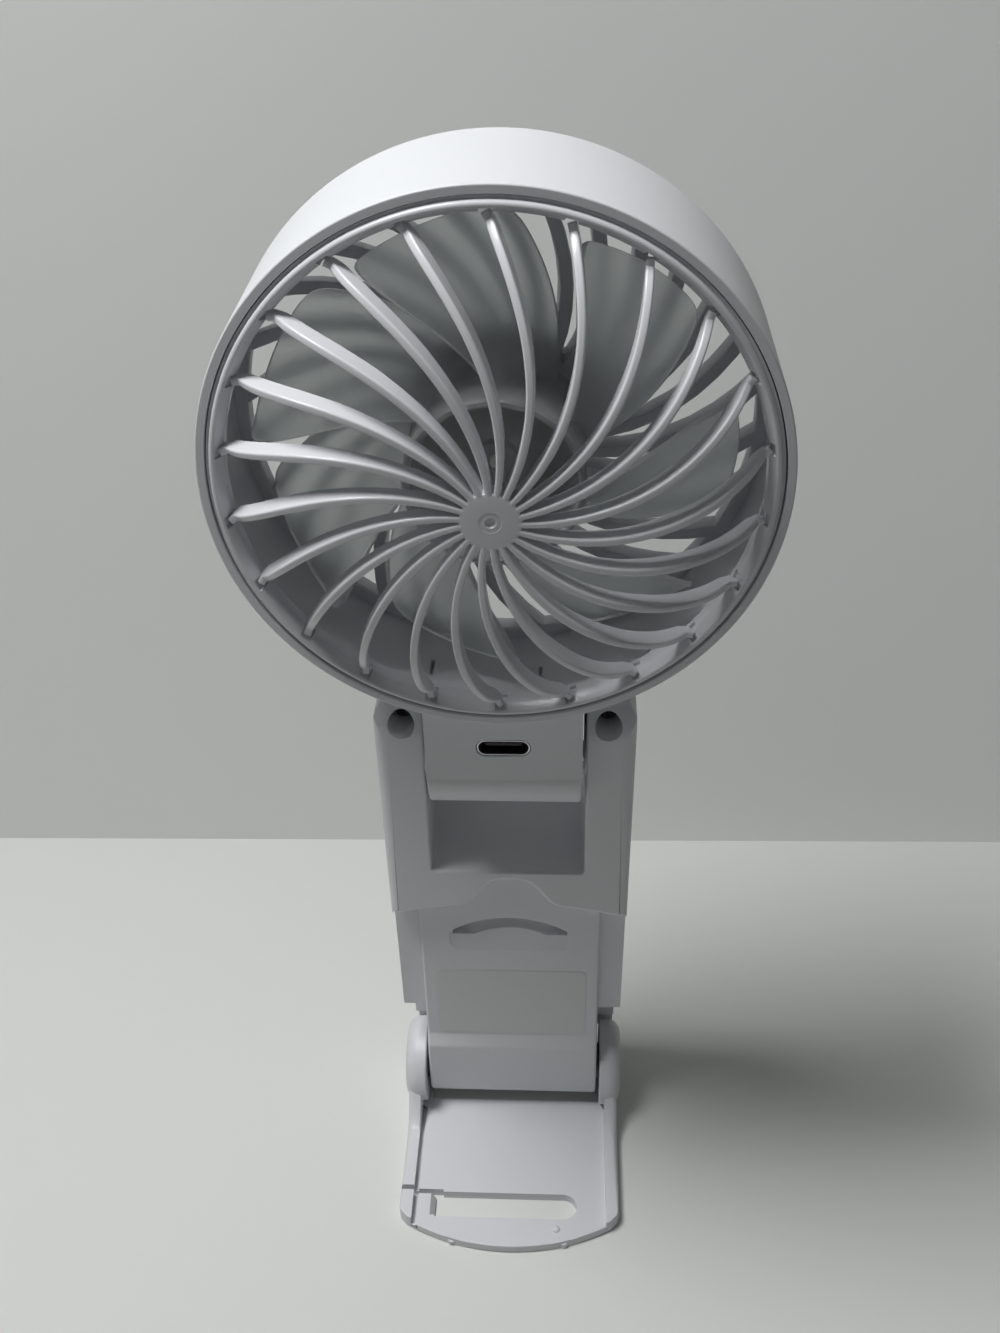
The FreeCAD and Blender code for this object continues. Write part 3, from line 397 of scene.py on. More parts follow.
def carve(piece: bpy.types.Object, *tools: bpy.types.Object) -> None:
    """Cut every tool out of a piece."""
    for tool in tools:
        combine(piece, tool, "DIFFERENCE")


def ease_edges(piece: bpy.types.Object, width: float, above: float = 30.0) -> None:
    """Round all edges sharper than an angle with a bevel.

    Args:
        piece: the piece to work on.
        width: how far the rounding reaches on each face.
        above: the angle between two faces, in degrees.
    """
    modifier = piece.modifiers.new("ease", "BEVEL")
    modifier.width = width
    modifier.segments = 2
    modifier.limit_method = "ANGLE"
    modifier.angle_limit = math.radians(above)
    apply_all(piece)


def cut_plane(place: Point, axis: Axis) -> None:
    """Run a flat cut through the whole piece in edit mode, which stays in one part."""
    bpy.ops.mesh.select_all(action="SELECT")
    bpy.ops.mesh.bisect(plane_co=place, plane_no=axis.value, use_fill=False)


def round_edges(piece: bpy.types.Object, test: Test, width: float, segments: int) -> None:
    """Bevel the edges that a test accepts.

    Args:
        piece: the piece to work on.
        test: tells whether an edge is wanted.
        width: how far the rounding reaches on each face.
        segments: how many facets it has.
    """
    with editing(piece):
        count = choose(piece, "EDGE", test)
        if count:
            bpy.ops.mesh.bevel(offset=width, segments=segments, affect="EDGES", clamp_overlap=False)
        bpy.ops.mesh.select_all(action="SELECT")
        bpy.ops.mesh.remove_doubles(threshold=SLIVER)
        bpy.ops.mesh.dissolve_degenerate(threshold=SLIVER)
    log.info("%s: %d edges rounded by %.2f", piece.name, count, width)


def is_sharp(edge: bmesh.types.BMEdge, least: float) -> bool:
    """Whether an edge stands out and turns by more than an angle in radians."""
    return edge.is_convex and edge.calc_face_angle(0) > least


def tidy_faces(piece: bpy.types.Object) -> None:
    """Merge the flat faces that booleans left in parts."""
    with editing(piece):
        bpy.ops.mesh.remove_doubles(threshold=1e-4)
        bpy.ops.mesh.dissolve_limited(angle_limit=math.radians(0.2))


def ease_seam(piece: bpy.types.Object, depth: float, width: float) -> None:
    """Bevel the outer edges of a half along its seam.

    Args:
        piece: one half of a split piece.
        depth: where the seam lies.
        width: how far the bevel reaches on each face.
    """

    def on_seam(edge: bmesh.types.BMEdge) -> bool:
        """Whether an edge is a convex one on the seam."""
        return is_sharp(edge, 1.2) and all(abs(corner.co.y - depth) < 1e-3 for corner in edge.verts)
    round_edges(piece, on_seam, width, 1)


def split(whole: bpy.types.Object, front_name: str, rear_name: str,
          depth: float) -> tuple[bpy.types.Object, bpy.types.Object]:
    """Divide a piece on an upright plane.

    Args:
        whole: the piece, which is used up.
        front_name: name of the half in front of the plane.
        rear_name: name of the half behind it.
        depth: where the plane lies.

    Returns:
        The front half and the rear half.
    """
    twin = whole.copy()
    twin.data = whole.data.copy()
    bpy.context.collection.objects.link(twin)
    reach, low, high = 60, -10, 140
    for half, name, end in ((whole, front_name, depth + reach), (twin, rear_name, depth - reach)):
        half.name = name
        carve(half, box("half_space", (-reach, depth, low), (reach, end, high), Axis.Y))
    return whole, twin


@dataclass(frozen=True)
class Screw:
    """Pan-headed screw with a cross recess, which lies along the depth."""

    head_radius: float
    head_height: float
    shank_length: float
    shank_radius: float = 1.0

    def draw(self, name: str, seat: Point, way: int) -> bpy.types.Object:
        """Turn the screw and cut its recess.

        Args:
            name: name of the new piece.
            seat: middle of the face under the head.
            way: 1 where the head points to the rear, -1 where it points to the front.

        Returns:
            The new piece.
        """
        high, wide = self.head_height * way, self.head_radius
        shank, end = self.shank_radius, self.shank_length
        piece = draw_turned(name, [
            (-end * way, 0), (-end * way, shank * 0.6), ((shank - end) * way, shank), (0, shank), (0, wide),
            (high * 0.45, wide), (high * 0.8, wide * 0.84), (high, wide * 0.5), (high, 0)],
            seat, Axis.Y, 40, closed=False)
        arm, half = wide * 0.62, wide * 0.13
        cross = [(-half, -arm), (half, -arm), (half, -half), (arm, -half), (arm, half), (half, half),
                 (half, arm), (-half, arm), (-half, half), (-arm, half), (-arm, -half), (-half, -half)]
        base = Vector(seat)
        carve(piece, block("cross", [(base.x + across, base.z + up) for across, up in cross], Axis.Y,
                           base.y + high * 0.35, base.y + high * 1.3))
        return piece

    def pair(self, name: str, spread: float, depth: float, height: float, way: int) -> bpy.types.Object:
        """Two screws at equal distances to the left and right.

        Args:
            name: name of the new piece.
            spread: how far each is from the middle.
            depth: where the face under the head lies.
            height: how high they sit.
            way: 1 where the heads point to the rear, -1 where they point to the front.

        Returns:
            Both screws as one piece.
        """
        return merge_pieces([self.draw(name, (side * spread, depth, height), way) for side in (1, -1)])


def copies_round(piece: bpy.types.Object, count: int, centre: Point, axis: Axis) -> list[bpy.types.Object]:
    """Copy a piece evenly round an axis, each copy with its own mesh.

    Args:
        piece: the piece to copy.
        count: how many there are in the end.
        centre: a point on the axis.
        axis: the direction of the axis.

    Returns:
        The piece and its copies.
    """
    family = [piece]
    for index in range(1, count):
        twin = piece.copy()
        twin.data = piece.data.copy()
        bpy.context.collection.objects.link(twin)
        with editing(twin):
            turn(FULL_TURN * index / count, axis, centre)
        family.append(twin)
    return family


def merge_pieces(pieces: Sequence[bpy.types.Object]) -> bpy.types.Object:
    """Join several pieces into the first one.

    Args:
        pieces: the pieces, of which the others are used up.

    Returns:
        The first piece.
    """
    put_down()
    for piece in pieces:
        piece.select_set(True)
    bpy.context.view_layer.objects.active = pieces[0]
    bpy.ops.object.join()
    return pieces[0]


def hand_over(piece: bpy.types.Object, node: str, body: Body, materials: "Materials", slot: str) -> None:
    """Bring a finished piece to metres, dress it and fix it to its body.

    Args:
        piece: the finished mesh, in millimetres.
        node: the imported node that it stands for.
        body: what it moves with.
        materials: every finish.
        slot: the record's material slot, which names the finish too.
    """
    take(piece)
    piece.name = "%s_dressed" % node
    piece.scale = (MM, MM, MM)
    bpy.ops.object.transform_apply(location=True, rotation=True, scale=True)
    bpy.ops.object.shade_smooth_by_angle(angle=math.radians(SMOOTH_BELOW))
    even = piece.modifiers.new("even", "WEIGHTED_NORMAL")
    even.keep_sharp = True
    apply_all(piece)
    piece.data.materials.clear()
    piece.data.materials.append(materials.get(slot))
    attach(piece, body.value)
    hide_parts(node)
    log.info("%s: %d faces, rides on %s", piece.name, len(piece.data.polygons), body.value)


# finishes

class Groups:
    """Shader node groups that several finishes share."""

    def __init__(self) -> None:
        """Build each group once."""
        self.grain = self._grain()
        self.mottle = self._mottle()

    @staticmethod
    def _start(name: str, inputs: Sequence[tuple[str, str, float]],
               outputs: Sequence[tuple[str, str]]) -> bpy.types.NodeTree:
        """New group with named sockets.

        Args:
            name: name of the group.
            inputs: name, kind and default of each input, the default for numbers only.
            outputs: name and kind of each output.

        Returns:
            The group, with no nodes in it yet.
        """
        tree = bpy.data.node_groups.new(name, "ShaderNodeTree")
        for label, kind, default in inputs:
            socket = tree.interface.new_socket(label, in_out="INPUT", socket_type=kind)
            if kind == "NodeSocketFloat":
                socket.default_value = default
        for label, kind in outputs:
            tree.interface.new_socket(label, in_out="OUTPUT", socket_type=kind)
        return tree

    def _grain(self) -> bpy.types.NodeTree:
        """Fine moulded texture: a height and a spread of roughness.

        Returns:
            The group.
        """
        tree = self._start("fine_grain",
                           [("Scale", "NodeSocketFloat", 6000.0), ("Roughness", "NodeSocketFloat", 0.4),
                            ("Spread", "NodeSocketFloat", 0.1)],
                           [("Height", "NodeSocketFloat"), ("Roughness", "NodeSocketFloat")])
        node, link = tree.nodes.new, tree.links.new
        source, sink = node("NodeGroupInput"), node("NodeGroupOutput")
        place = node("ShaderNodeTexCoord")
        noise = node("ShaderNodeTexNoise")
        noise.inputs["Detail"].default_value = 3.0
        link(place.outputs["Object"], noise.inputs["Vector"])
        link(source.outputs["Scale"], noise.inputs["Scale"])
        link(noise.outputs["Fac"], sink.inputs["Height"])
        patch = node("ShaderNodeTexNoise")
        patch.inputs["Scale"].default_value = 60.0
        patch.inputs["Detail"].default_value = 4.0
        link(place.outputs["Object"], patch.inputs["Vector"])
        centred = node("ShaderNodeMath")
        centred.operation = "SUBTRACT"
        centred.inputs[1].default_value = 0.5
        link(patch.outputs["Fac"], centred.inputs[0])
        spread = node("ShaderNodeMath")
        spread.operation = "MULTIPLY_ADD"
        link(centred.outputs[0], spread.inputs[0])
        link(source.outputs["Spread"], spread.inputs[1])
        link(source.outputs["Roughness"], spread.inputs[2])
        link(spread.outputs[0], sink.inputs["Roughness"])
        return tree

    def _mottle(self) -> bpy.types.NodeTree:
        """Slow drift of a colour towards a second tone.

        Returns:
            The group.
        """
        tree = self._start("slow_mottle",
                           [("Colour", "NodeSocketColor", 0.0), ("Tone", "NodeSocketColor", 0.0),
                            ("Scale", "NodeSocketFloat", 40.0), ("Amount", "NodeSocketFloat", 0.3)],
                           [("Colour", "NodeSocketColor")])
        node, link = tree.nodes.new, tree.links.new
        source, sink = node("NodeGroupInput"), node("NodeGroupOutput")
        place = node("ShaderNodeTexCoord")
        noise = node("ShaderNodeTexNoise")
        noise.inputs["Detail"].default_value = 5.0
        link(place.outputs["Object"], noise.inputs["Vector"])
        link(source.outputs["Scale"], noise.inputs["Scale"])
        share = node("ShaderNodeMath")
        share.operation = "MULTIPLY"
        link(noise.outputs["Fac"], share.inputs[0])
        link(source.outputs["Amount"], share.inputs[1])
        mix = node("ShaderNodeMix")
        mix.data_type = "RGBA"
        link(share.outputs[0], mix.inputs["Factor"])
        link(source.outputs["Colour"], mix.inputs["A"])
        link(source.outputs["Tone"], mix.inputs["B"])
        link(mix.outputs["Result"], sink.inputs["Colour"])
        return tree


@dataclass(frozen=True)
class Finish:
    """Look of one material, all of it procedural."""

    name: str
    colour: tuple[float, float, float]
    tone: tuple[float, float, float]
    roughness: float
    metallic: float = 0.0
    mottle_scale: float = 40.0
    mottle_amount: float = 0.5
    grain_scale: float = 6000.0
    grain_depth: float = 0.0
    roughness_spread: float = 0.1
    transmission: float = 0.0
    refraction: float = 1.46

    def build(self, groups: Groups) -> bpy.types.Material:
        """Make the node material.

        Args:
            groups: the shared node groups.

        Returns:
            The new material.
        """
        material = bpy.data.materials.new(self.name)
        material.use_nodes = True
        tree = material.node_tree
        shader = tree.nodes["Principled BSDF"]
        shader.inputs["Metallic"].default_value = self.metallic
        shader.inputs["Transmission Weight"].default_value = self.transmission
        shader.inputs["IOR"].default_value = self.refraction
        mottle = tree.nodes.new("ShaderNodeGroup")
        mottle.node_tree = groups.mottle
        mottle.inputs["Colour"].default_value = (*self.colour, 1)
        mottle.inputs["Tone"].default_value = (*self.tone, 1)
        mottle.inputs["Scale"].default_value = self.mottle_scale
        mottle.inputs["Amount"].default_value = self.mottle_amount
        tree.links.new(mottle.outputs["Colour"], shader.inputs["Base Color"])
        grain = tree.nodes.new("ShaderNodeGroup")
        grain.node_tree = groups.grain
        grain.inputs["Scale"].default_value = self.grain_scale
        grain.inputs["Roughness"].default_value = self.roughness
        grain.inputs["Spread"].default_value = self.roughness_spread
        tree.links.new(grain.outputs["Roughness"], shader.inputs["Roughness"])
        if self.grain_depth > 0:
            bump = tree.nodes.new("ShaderNodeBump")
            bump.inputs["Distance"].default_value = self.grain_depth
            bump.inputs["Strength"].default_value = 0.5
            tree.links.new(grain.outputs["Height"], bump.inputs["Height"])
            tree.links.new(bump.outputs["Normal"], shader.inputs["Normal"])
        return material


FINISHES = (
    Finish("white_plastic", (0.78, 0.795, 0.82), (0.73, 0.745, 0.77), 0.40, grain_depth=1.5e-5),
    Finish("grille_plastic", (0.78, 0.795, 0.82), (0.73, 0.745, 0.77), 0.22, grain_depth=5e-6),
    Finish("button_plastic", (0.80, 0.81, 0.82), (0.74, 0.75, 0.77), 0.38, grain_depth=8e-6),
    Finish("smoky_plastic", (0.88, 0.895, 0.90), (0.82, 0.84, 0.845), 0.48, transmission=0.80,
           refraction=1.25),
    Finish("bright_steel", (0.62, 0.62, 0.63), (0.50, 0.50, 0.52), 0.28, metallic=1.0),
    Finish("dark_steel", (0.16, 0.16, 0.17), (0.10, 0.10, 0.11), 0.36, metallic=1.0),
    Finish("magnet", (0.10, 0.10, 0.11), (0.07, 0.07, 0.08), 0.50, metallic=0.6),
    Finish("bearing_brass", (0.60, 0.42, 0.19), (0.50, 0.34, 0.14), 0.34, metallic=1.0),
    Finish("stator_iron", (0.17, 0.18, 0.18), (0.13, 0.14, 0.14), 0.50, metallic=0.5),
    Finish("circuit_board", (0.04, 0.16, 0.07), (0.03, 0.11, 0.05), 0.38),
    Finish("black_plastic", (0.025, 0.025, 0.028), (0.04, 0.04, 0.045), 0.42),
    Finish("cell_wrap", (0.10, 0.22, 0.42), (0.08, 0.18, 0.36), 0.34),
    Finish("foam", (0.16, 0.16, 0.17), (0.12, 0.12, 0.13), 0.85),
    Finish("chip_resin", (0.72, 0.70, 0.60), (0.66, 0.64, 0.52), 0.40),
    Finish("clear_plastic", (0.85, 0.87, 0.88), (0.80, 0.82, 0.84), 0.18, transmission=0.8),
    Finish("label_paper", (0.72, 0.745, 0.735), (0.69, 0.715, 0.705), 0.32),
)


class Materials:
    """Every finish, built once and found by its slot's name."""

    def __init__(self) -> None:
        """Build the groups and the materials."""
        groups = Groups()
        self._made = {finish.name: finish.build(groups) for finish in FINISHES}

    def get(self, slot: str) -> bpy.types.Material:
        """Material of one slot."""
        return self._made[slot]

    def dress_nodes(self, frame: dict) -> None:
        """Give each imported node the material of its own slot.

        Args:
            frame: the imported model, as it was loaded.
        """
        slots = {part["node"]: part["material_slot"] for part in frame["record"]["subparts"]}
        for name, node in frame["nodes"].items():
            node.data.materials.clear()
            node.data.materials.append(self.get(slots[name]))


# head

@dataclass
class Head:
    """Drum with its two grilles."""

    axis_height: float = FAN_HEIGHT
    front: float = -19.58
    rear: float = DRUM_REAR
    drum_radius: float = DRUM_RADIUS
    bore_radius: float = 40.3
    drum_round: float = 0.28
    seat_depth: float = 3.5
    seat_thickness: float = 1.2
    seat_width: float = 1.1
    drum_steps: int = DRUM_STEPS
    slit_width: float = 0.6
    slit_length: float = 4.0
    slit_depth: float = 9.0
    slit_places: Pair = (-11.65, 5.82)
    flange_radius: float = 40.1
    flange_drop: float = 0.5
    bead_middle: float = 39.05
    bead_half: float = 0.58
    bead_lead: float = 0.5
    lip_radius: float = 37.8
    lip_drop: float = 1.1
    notch_half: float = 1.0
    notch_depth: float = 0.5
    notch_end: float = 2.7
    fin_count: int = 22
    fin_phase: float = 90.45
    fin_rate: float = 0.9
    fin_inner: float = 3.4
    fin_outer: float = 38.05
    fin_width: float = 1.15
    fin_width_hub: float = 0.95
    fin_lean: float = 0.05
    fin_nose: float = 0.32
    fin_depth_hub: float = 2.3
    fin_depth_rim: float = 3.3
    fin_depth_tip: float = 0.8
    fin_tip_length: float = 2.3
    fin_stations: int = 30
    dome_rise: float = 10.0
    dome_radius: float = 37.0
    cap_radius: float = 4.4
    cap_thickness: float = 2.4
    cap_pip_radius: float = 0.85
    cap_groove_radius: float = 1.5
    slat_count: int = 28
    slat_sweep: float = 34.0
    slat_lean: float = 0.5
    slat_thickness: float = 2.0
    slat_stations: int = 9
    rear_ring_width: float = 1.9
    rear_hub_radius: float = 14.0
    rear_hub_thickness: float = 2.5
    tube_radius: float = 3.5
    tube_front: float = -7.38

    @property
    def centre(self) -> Vector:
        """Point where the fan's axis crosses the hinge's plane."""
        return Vector((0, 0, self.axis_height))

    def spot(self, radius: float, angle: float, depth: float) -> Vector:
        """Point at a radius, an angle in degrees seen from the front and a depth."""
        bearing = math.radians(angle)
        return self.centre + Vector((radius * math.cos(bearing), depth, radius * math.sin(bearing)))

    def drum(self) -> bpy.types.Object:
        """Outer tube with rounded rims and a seat for the front grille.

        Returns:
            The new piece.
        """
        outer, bore, soft = self.drum_radius, self.bore_radius, self.drum_round
        front, rear = self.front, self.rear
        seat = front + self.seat_depth
        section = arc((rear - soft, outer - soft), soft, 90, 0, 4)
        section += [(rear, bore), (seat + self.seat_thickness, bore),
                    (seat + self.seat_thickness, bore - self.seat_width), (seat, bore - self.seat_width),
                    (seat, bore), (front + 0.12, bore), (front, bore + 0.12)]
        section += arc((front + soft, outer - soft), soft, 180, 90, 4)
        piece = draw_turned("drum_shell", section, self.centre, Axis.Y, self.drum_steps)
        start, end = front + self.slit_depth, front + self.slit_depth + self.slit_length
        low, high = self.axis_height - outer - 1, self.axis_height - outer / 2
        for place in self.slit_places:
            carve(piece, box("slit", (place, start, low), (place + self.slit_width, end, high), Axis.Y))
        return piece

    def _dome(self, radius: float) -> float:
        """How far the fins' front edges stand out of the drum at a radius."""
        share = min(radius / self.dome_radius, 1.0)
        return self.dome_rise * (1 - share ** 4) ** 0.75

    def _fin_depth(self, radius: float) -> float:
        """Depth of a fin from its front edge to its rear edge.

        Args:
            radius: distance from the fan's axis.

        Returns:
            The depth, which grows from the hub to the rim and falls away at the tip.
        """
        share = min(radius / self.dome_radius / 0.65, 1.0)
        depth = self.fin_depth_hub + (self.fin_depth_rim - self.fin_depth_hub) * share ** 2
        tip_start = self.fin_outer - self.fin_tip_length
        along_tip = min(max((radius - tip_start) / self.fin_tip_length, 0.0), 1.0)
        return depth + (self.fin_depth_tip - depth) * along_tip

    def _fin_width(self, radius: float) -> float:
        """Width of a fin, thinner where the fins crowd together at the cap."""
        share = min(max((radius - self.cap_radius) / self.cap_radius / 2, 0.0), 1.0)
        return self.fin_width_hub + (self.fin_width - self.fin_width_hub) * share

    def _fin_spot(self, radius: float) -> Vector:
        """Middle of a fin's front edge at a radius."""
        return self.spot(radius, self.fin_phase + self.fin_rate * (radius - self.fin_outer),
                         self.front - self._dome(radius))

    def fin(self) -> bpy.types.Object:
        """One curved fin, drawn from the lip to the cap and rounded along its nose.

        Returns:
            The new piece.
        """
        last = self.fin_stations - 1
        radii = [self.fin_outer + (self.fin_inner - self.fin_outer) * (index / last) ** 1.4
                 for index in range(self.fin_stations)]
        spots = [self._fin_spot(radius) for radius in radii]
        runs = [spots[min(index + 1, last)] - spots[max(index - 1, 0)] for index in range(self.fin_stations)]
        bearings = [math.atan2(run.x, run.z) for run in runs]
        side = Vector((math.cos(bearings[0]), 0, -math.sin(bearings[0])))
        across = side * self._fin_width(radii[0]) / 2
        deep = Vector((0, self._fin_depth(radii[0]), 0)) - side * self.fin_lean
        piece = draw_face("fin", [spots[0] - across, spots[0] + across, spots[0] + across + deep,
                                  spots[0] - across + deep])
        with editing(piece):
            for index in range(1, self.fin_stations):
                push_out(spots[index] - spots[index - 1])
                turn(bearings[index] - bearings[index - 1], Axis.Y, spots[index])
                broad = self._fin_width(radii[index]) / self._fin_width(radii[index - 1])
                deeper = self._fin_depth(radii[index]) / self._fin_depth(radii[index - 1])
                stretch((broad, deeper, broad), spots[index])
            bpy.ops.mesh.select_all(action="SELECT")
            bpy.ops.mesh.normals_make_consistent(inside=False)

            def station(corner: bmesh.types.BMVert) -> int:
                """Number of the station that a corner belongs to."""
                return min(range(self.fin_stations), key=lambda index: (corner.co - spots[index]).xz.length)

            def on_nose(edge: bmesh.types.BMEdge) -> bool:
                """Whether an edge runs lengthwise along the front of the fin."""
                ends = [station(corner) for corner in edge.verts]
                return ends[0] != ends[1] and all(abs(corner.co.y - spots[end].y) < 0.02
                                                  for corner, end in zip(edge.verts, ends))
            choose(piece, "EDGE", on_nose)
            bpy.ops.mesh.bevel(offset=self.fin_nose, segments=3, affect="EDGES", clamp_overlap=True)
        return piece

    def _ring(self) -> bpy.types.Object:
        """Ring of the front grille, with its bead, sloping lip and a notch for each fin.

        Returns:
            The new piece.
        """
        front, bead, half, lip = self.front, self.bead_middle, self.bead_half, self.lip_radius
        section = [(front + self.flange_drop, self.flange_radius),
                   (front + self.flange_drop, bead + half + 0.04)]
        section += arc((front + half - self.bead_lead, bead), half, 90, 225, 6)
        section += [(front + self.lip_drop - 0.5, lip + 0.3), (front + self.lip_drop, lip + 0.06),
                    (front + self.lip_drop + 0.3, lip), (front + self.notch_end, lip),
                    (front + self.seat_depth, lip), (front + self.seat_depth, self.flange_radius)]
        ring = draw_turned("front_grille", section, self.centre, Axis.Y, self.fin_count * 12)
        pitch = 360.0 / self.fin_count

        def in_notch(face: bmesh.types.BMFace) -> bool:
            """Whether a face of the lip lies where a fin meets it.

            Args:
                face: a face of the ring.

            Returns:
                Whether it belongs to a notch.
            """
            middle = face.calc_center_median() - self.centre
            radius = middle.xz.length
            if radius > bead - 0.4 or middle.y > front + self.notch_end:
                return False
            bearing = math.degrees(math.atan2(middle.z, middle.x)) - self.fin_phase
            near = (bearing + pitch / 2) % pitch - pitch / 2
            return abs(math.radians(near)) * radius < self.notch_half
        with editing(ring):
            turn(-math.radians(self.fin_phase - 90), Axis.Y, self.centre)
            choose(ring, "FACE", in_notch)
            push_out((0, 0, 0))
            outward = (lip + self.notch_depth) / lip
            stretch((outward, 1, outward), self.centre)
        return ring

    def _cap(self) -> bpy.types.Object:
        """Round cap in the middle of the fins, with a shallow groove and a pip.

        Returns:
            The new piece.
        """
        face, wide, back = self.front - self.dome_rise, self.cap_radius, self.cap_thickness
        return draw_turned("cap", [
            (face + 0.42, 0), (face + 0.4, 0.55), (face + 0.02, self.cap_pip_radius),
            (face + 0.06, self.cap_groove_radius), (face - 0.02, self.cap_groove_radius + 0.12),
            (face, wide - 0.5), (face + 0.12, wide - 0.15), (face + 0.5, wide), (face + back, wide),
            (face + back, 0)],
            self.centre, Axis.Y, 48, closed=False)

    def front_grille(self) -> bpy.types.Object:
        """Ring, cap and every fin."""
        fins = copies_round(self.fin(), self.fin_count, self.centre, Axis.Y)
        return merge_pieces([self._ring(), self._cap(), *fins])

    def slat(self) -> bpy.types.Object:
        """One curved slat of the rear grille, leaning along the air's swirl.

        Returns:
            The new piece.
        """
        inner, outer = self.rear_hub_radius - 1, self.bore_radius - self.rear_ring_width + 0.6
        start = self.rear - self.seat_depth
        spots = []
        for index in range(self.slat_stations):
            share = index / (self.slat_stations - 1)
            spots.append(self.spot(inner + (outer - inner) * share, self.slat_sweep * share, start + 0.15))
        piece = draw_line("slat", spots)
        middle = math.radians(self.slat_sweep / 2)
        with editing(piece):
            push_out((-self.slat_lean * math.sin(middle), self.seat_depth - 0.3,
                      self.slat_lean * math.cos(middle)))
        wall = piece.modifiers.new("wall", "SOLIDIFY")
        wall.thickness = self.slat_thickness
        wall.offset = 0
        apply_all(piece)
        ease_edges(piece, 0.3, 50)
        return piece

    def rear_grille(self) -> bpy.types.Object:
        """Ring, curved slats, and the round plate that seats the motor.

        Returns:
            The new piece.
        """
        start, rear, bore = self.rear - self.seat_depth, self.rear, self.bore_radius
        inner = bore - self.rear_ring_width
        ring = draw_turned("rear_grille", [
            (start, bore - 0.02), (rear - 0.35, bore - 0.02), (rear, bore - 0.35), (rear, inner + 0.4),
            (rear - 0.4, inner), (start + 0.3, inner), (start, inner + 0.3)],
            self.centre, Axis.Y, self.drum_steps)
        hub = self.rear_hub_radius
        back = rear - self.rear_hub_thickness
        plate = draw_turned("motor_plate", [
            (self.tube_front, 0), (self.tube_front, self.tube_radius), (back, self.tube_radius),
            (back, hub - 0.3), (back + 0.3, hub), (rear - 0.6, hub), (rear - 0.2, hub - 0.2),
            (rear, hub - 0.7), (rear, hub - 2.2), (rear - 0.35, hub - 2.5), (rear - 0.45, hub - 3.1),
            (rear - 0.1, hub - 3.5), (rear, 5), (rear + 0.02, 0)],
            self.centre, Axis.Y, 96, closed=False)
        slats = copies_round(self.slat(), self.slat_count, self.centre, Axis.Y)
        return merge_pieces([ring, plate, *slats])

    def build(self, materials: Materials) -> None:
        """Make and dress the head's shells.

        Args:
            materials: every finish.
        """
        hand_over(self.drum(), "drum_shell", Body.HEAD, materials, "white_plastic")
        hand_over(self.front_grille(), "front_grille", Body.HEAD, materials, "grille_plastic")
        hand_over(self.rear_grille(), "rear_grille", Body.HEAD, materials, "white_plastic")


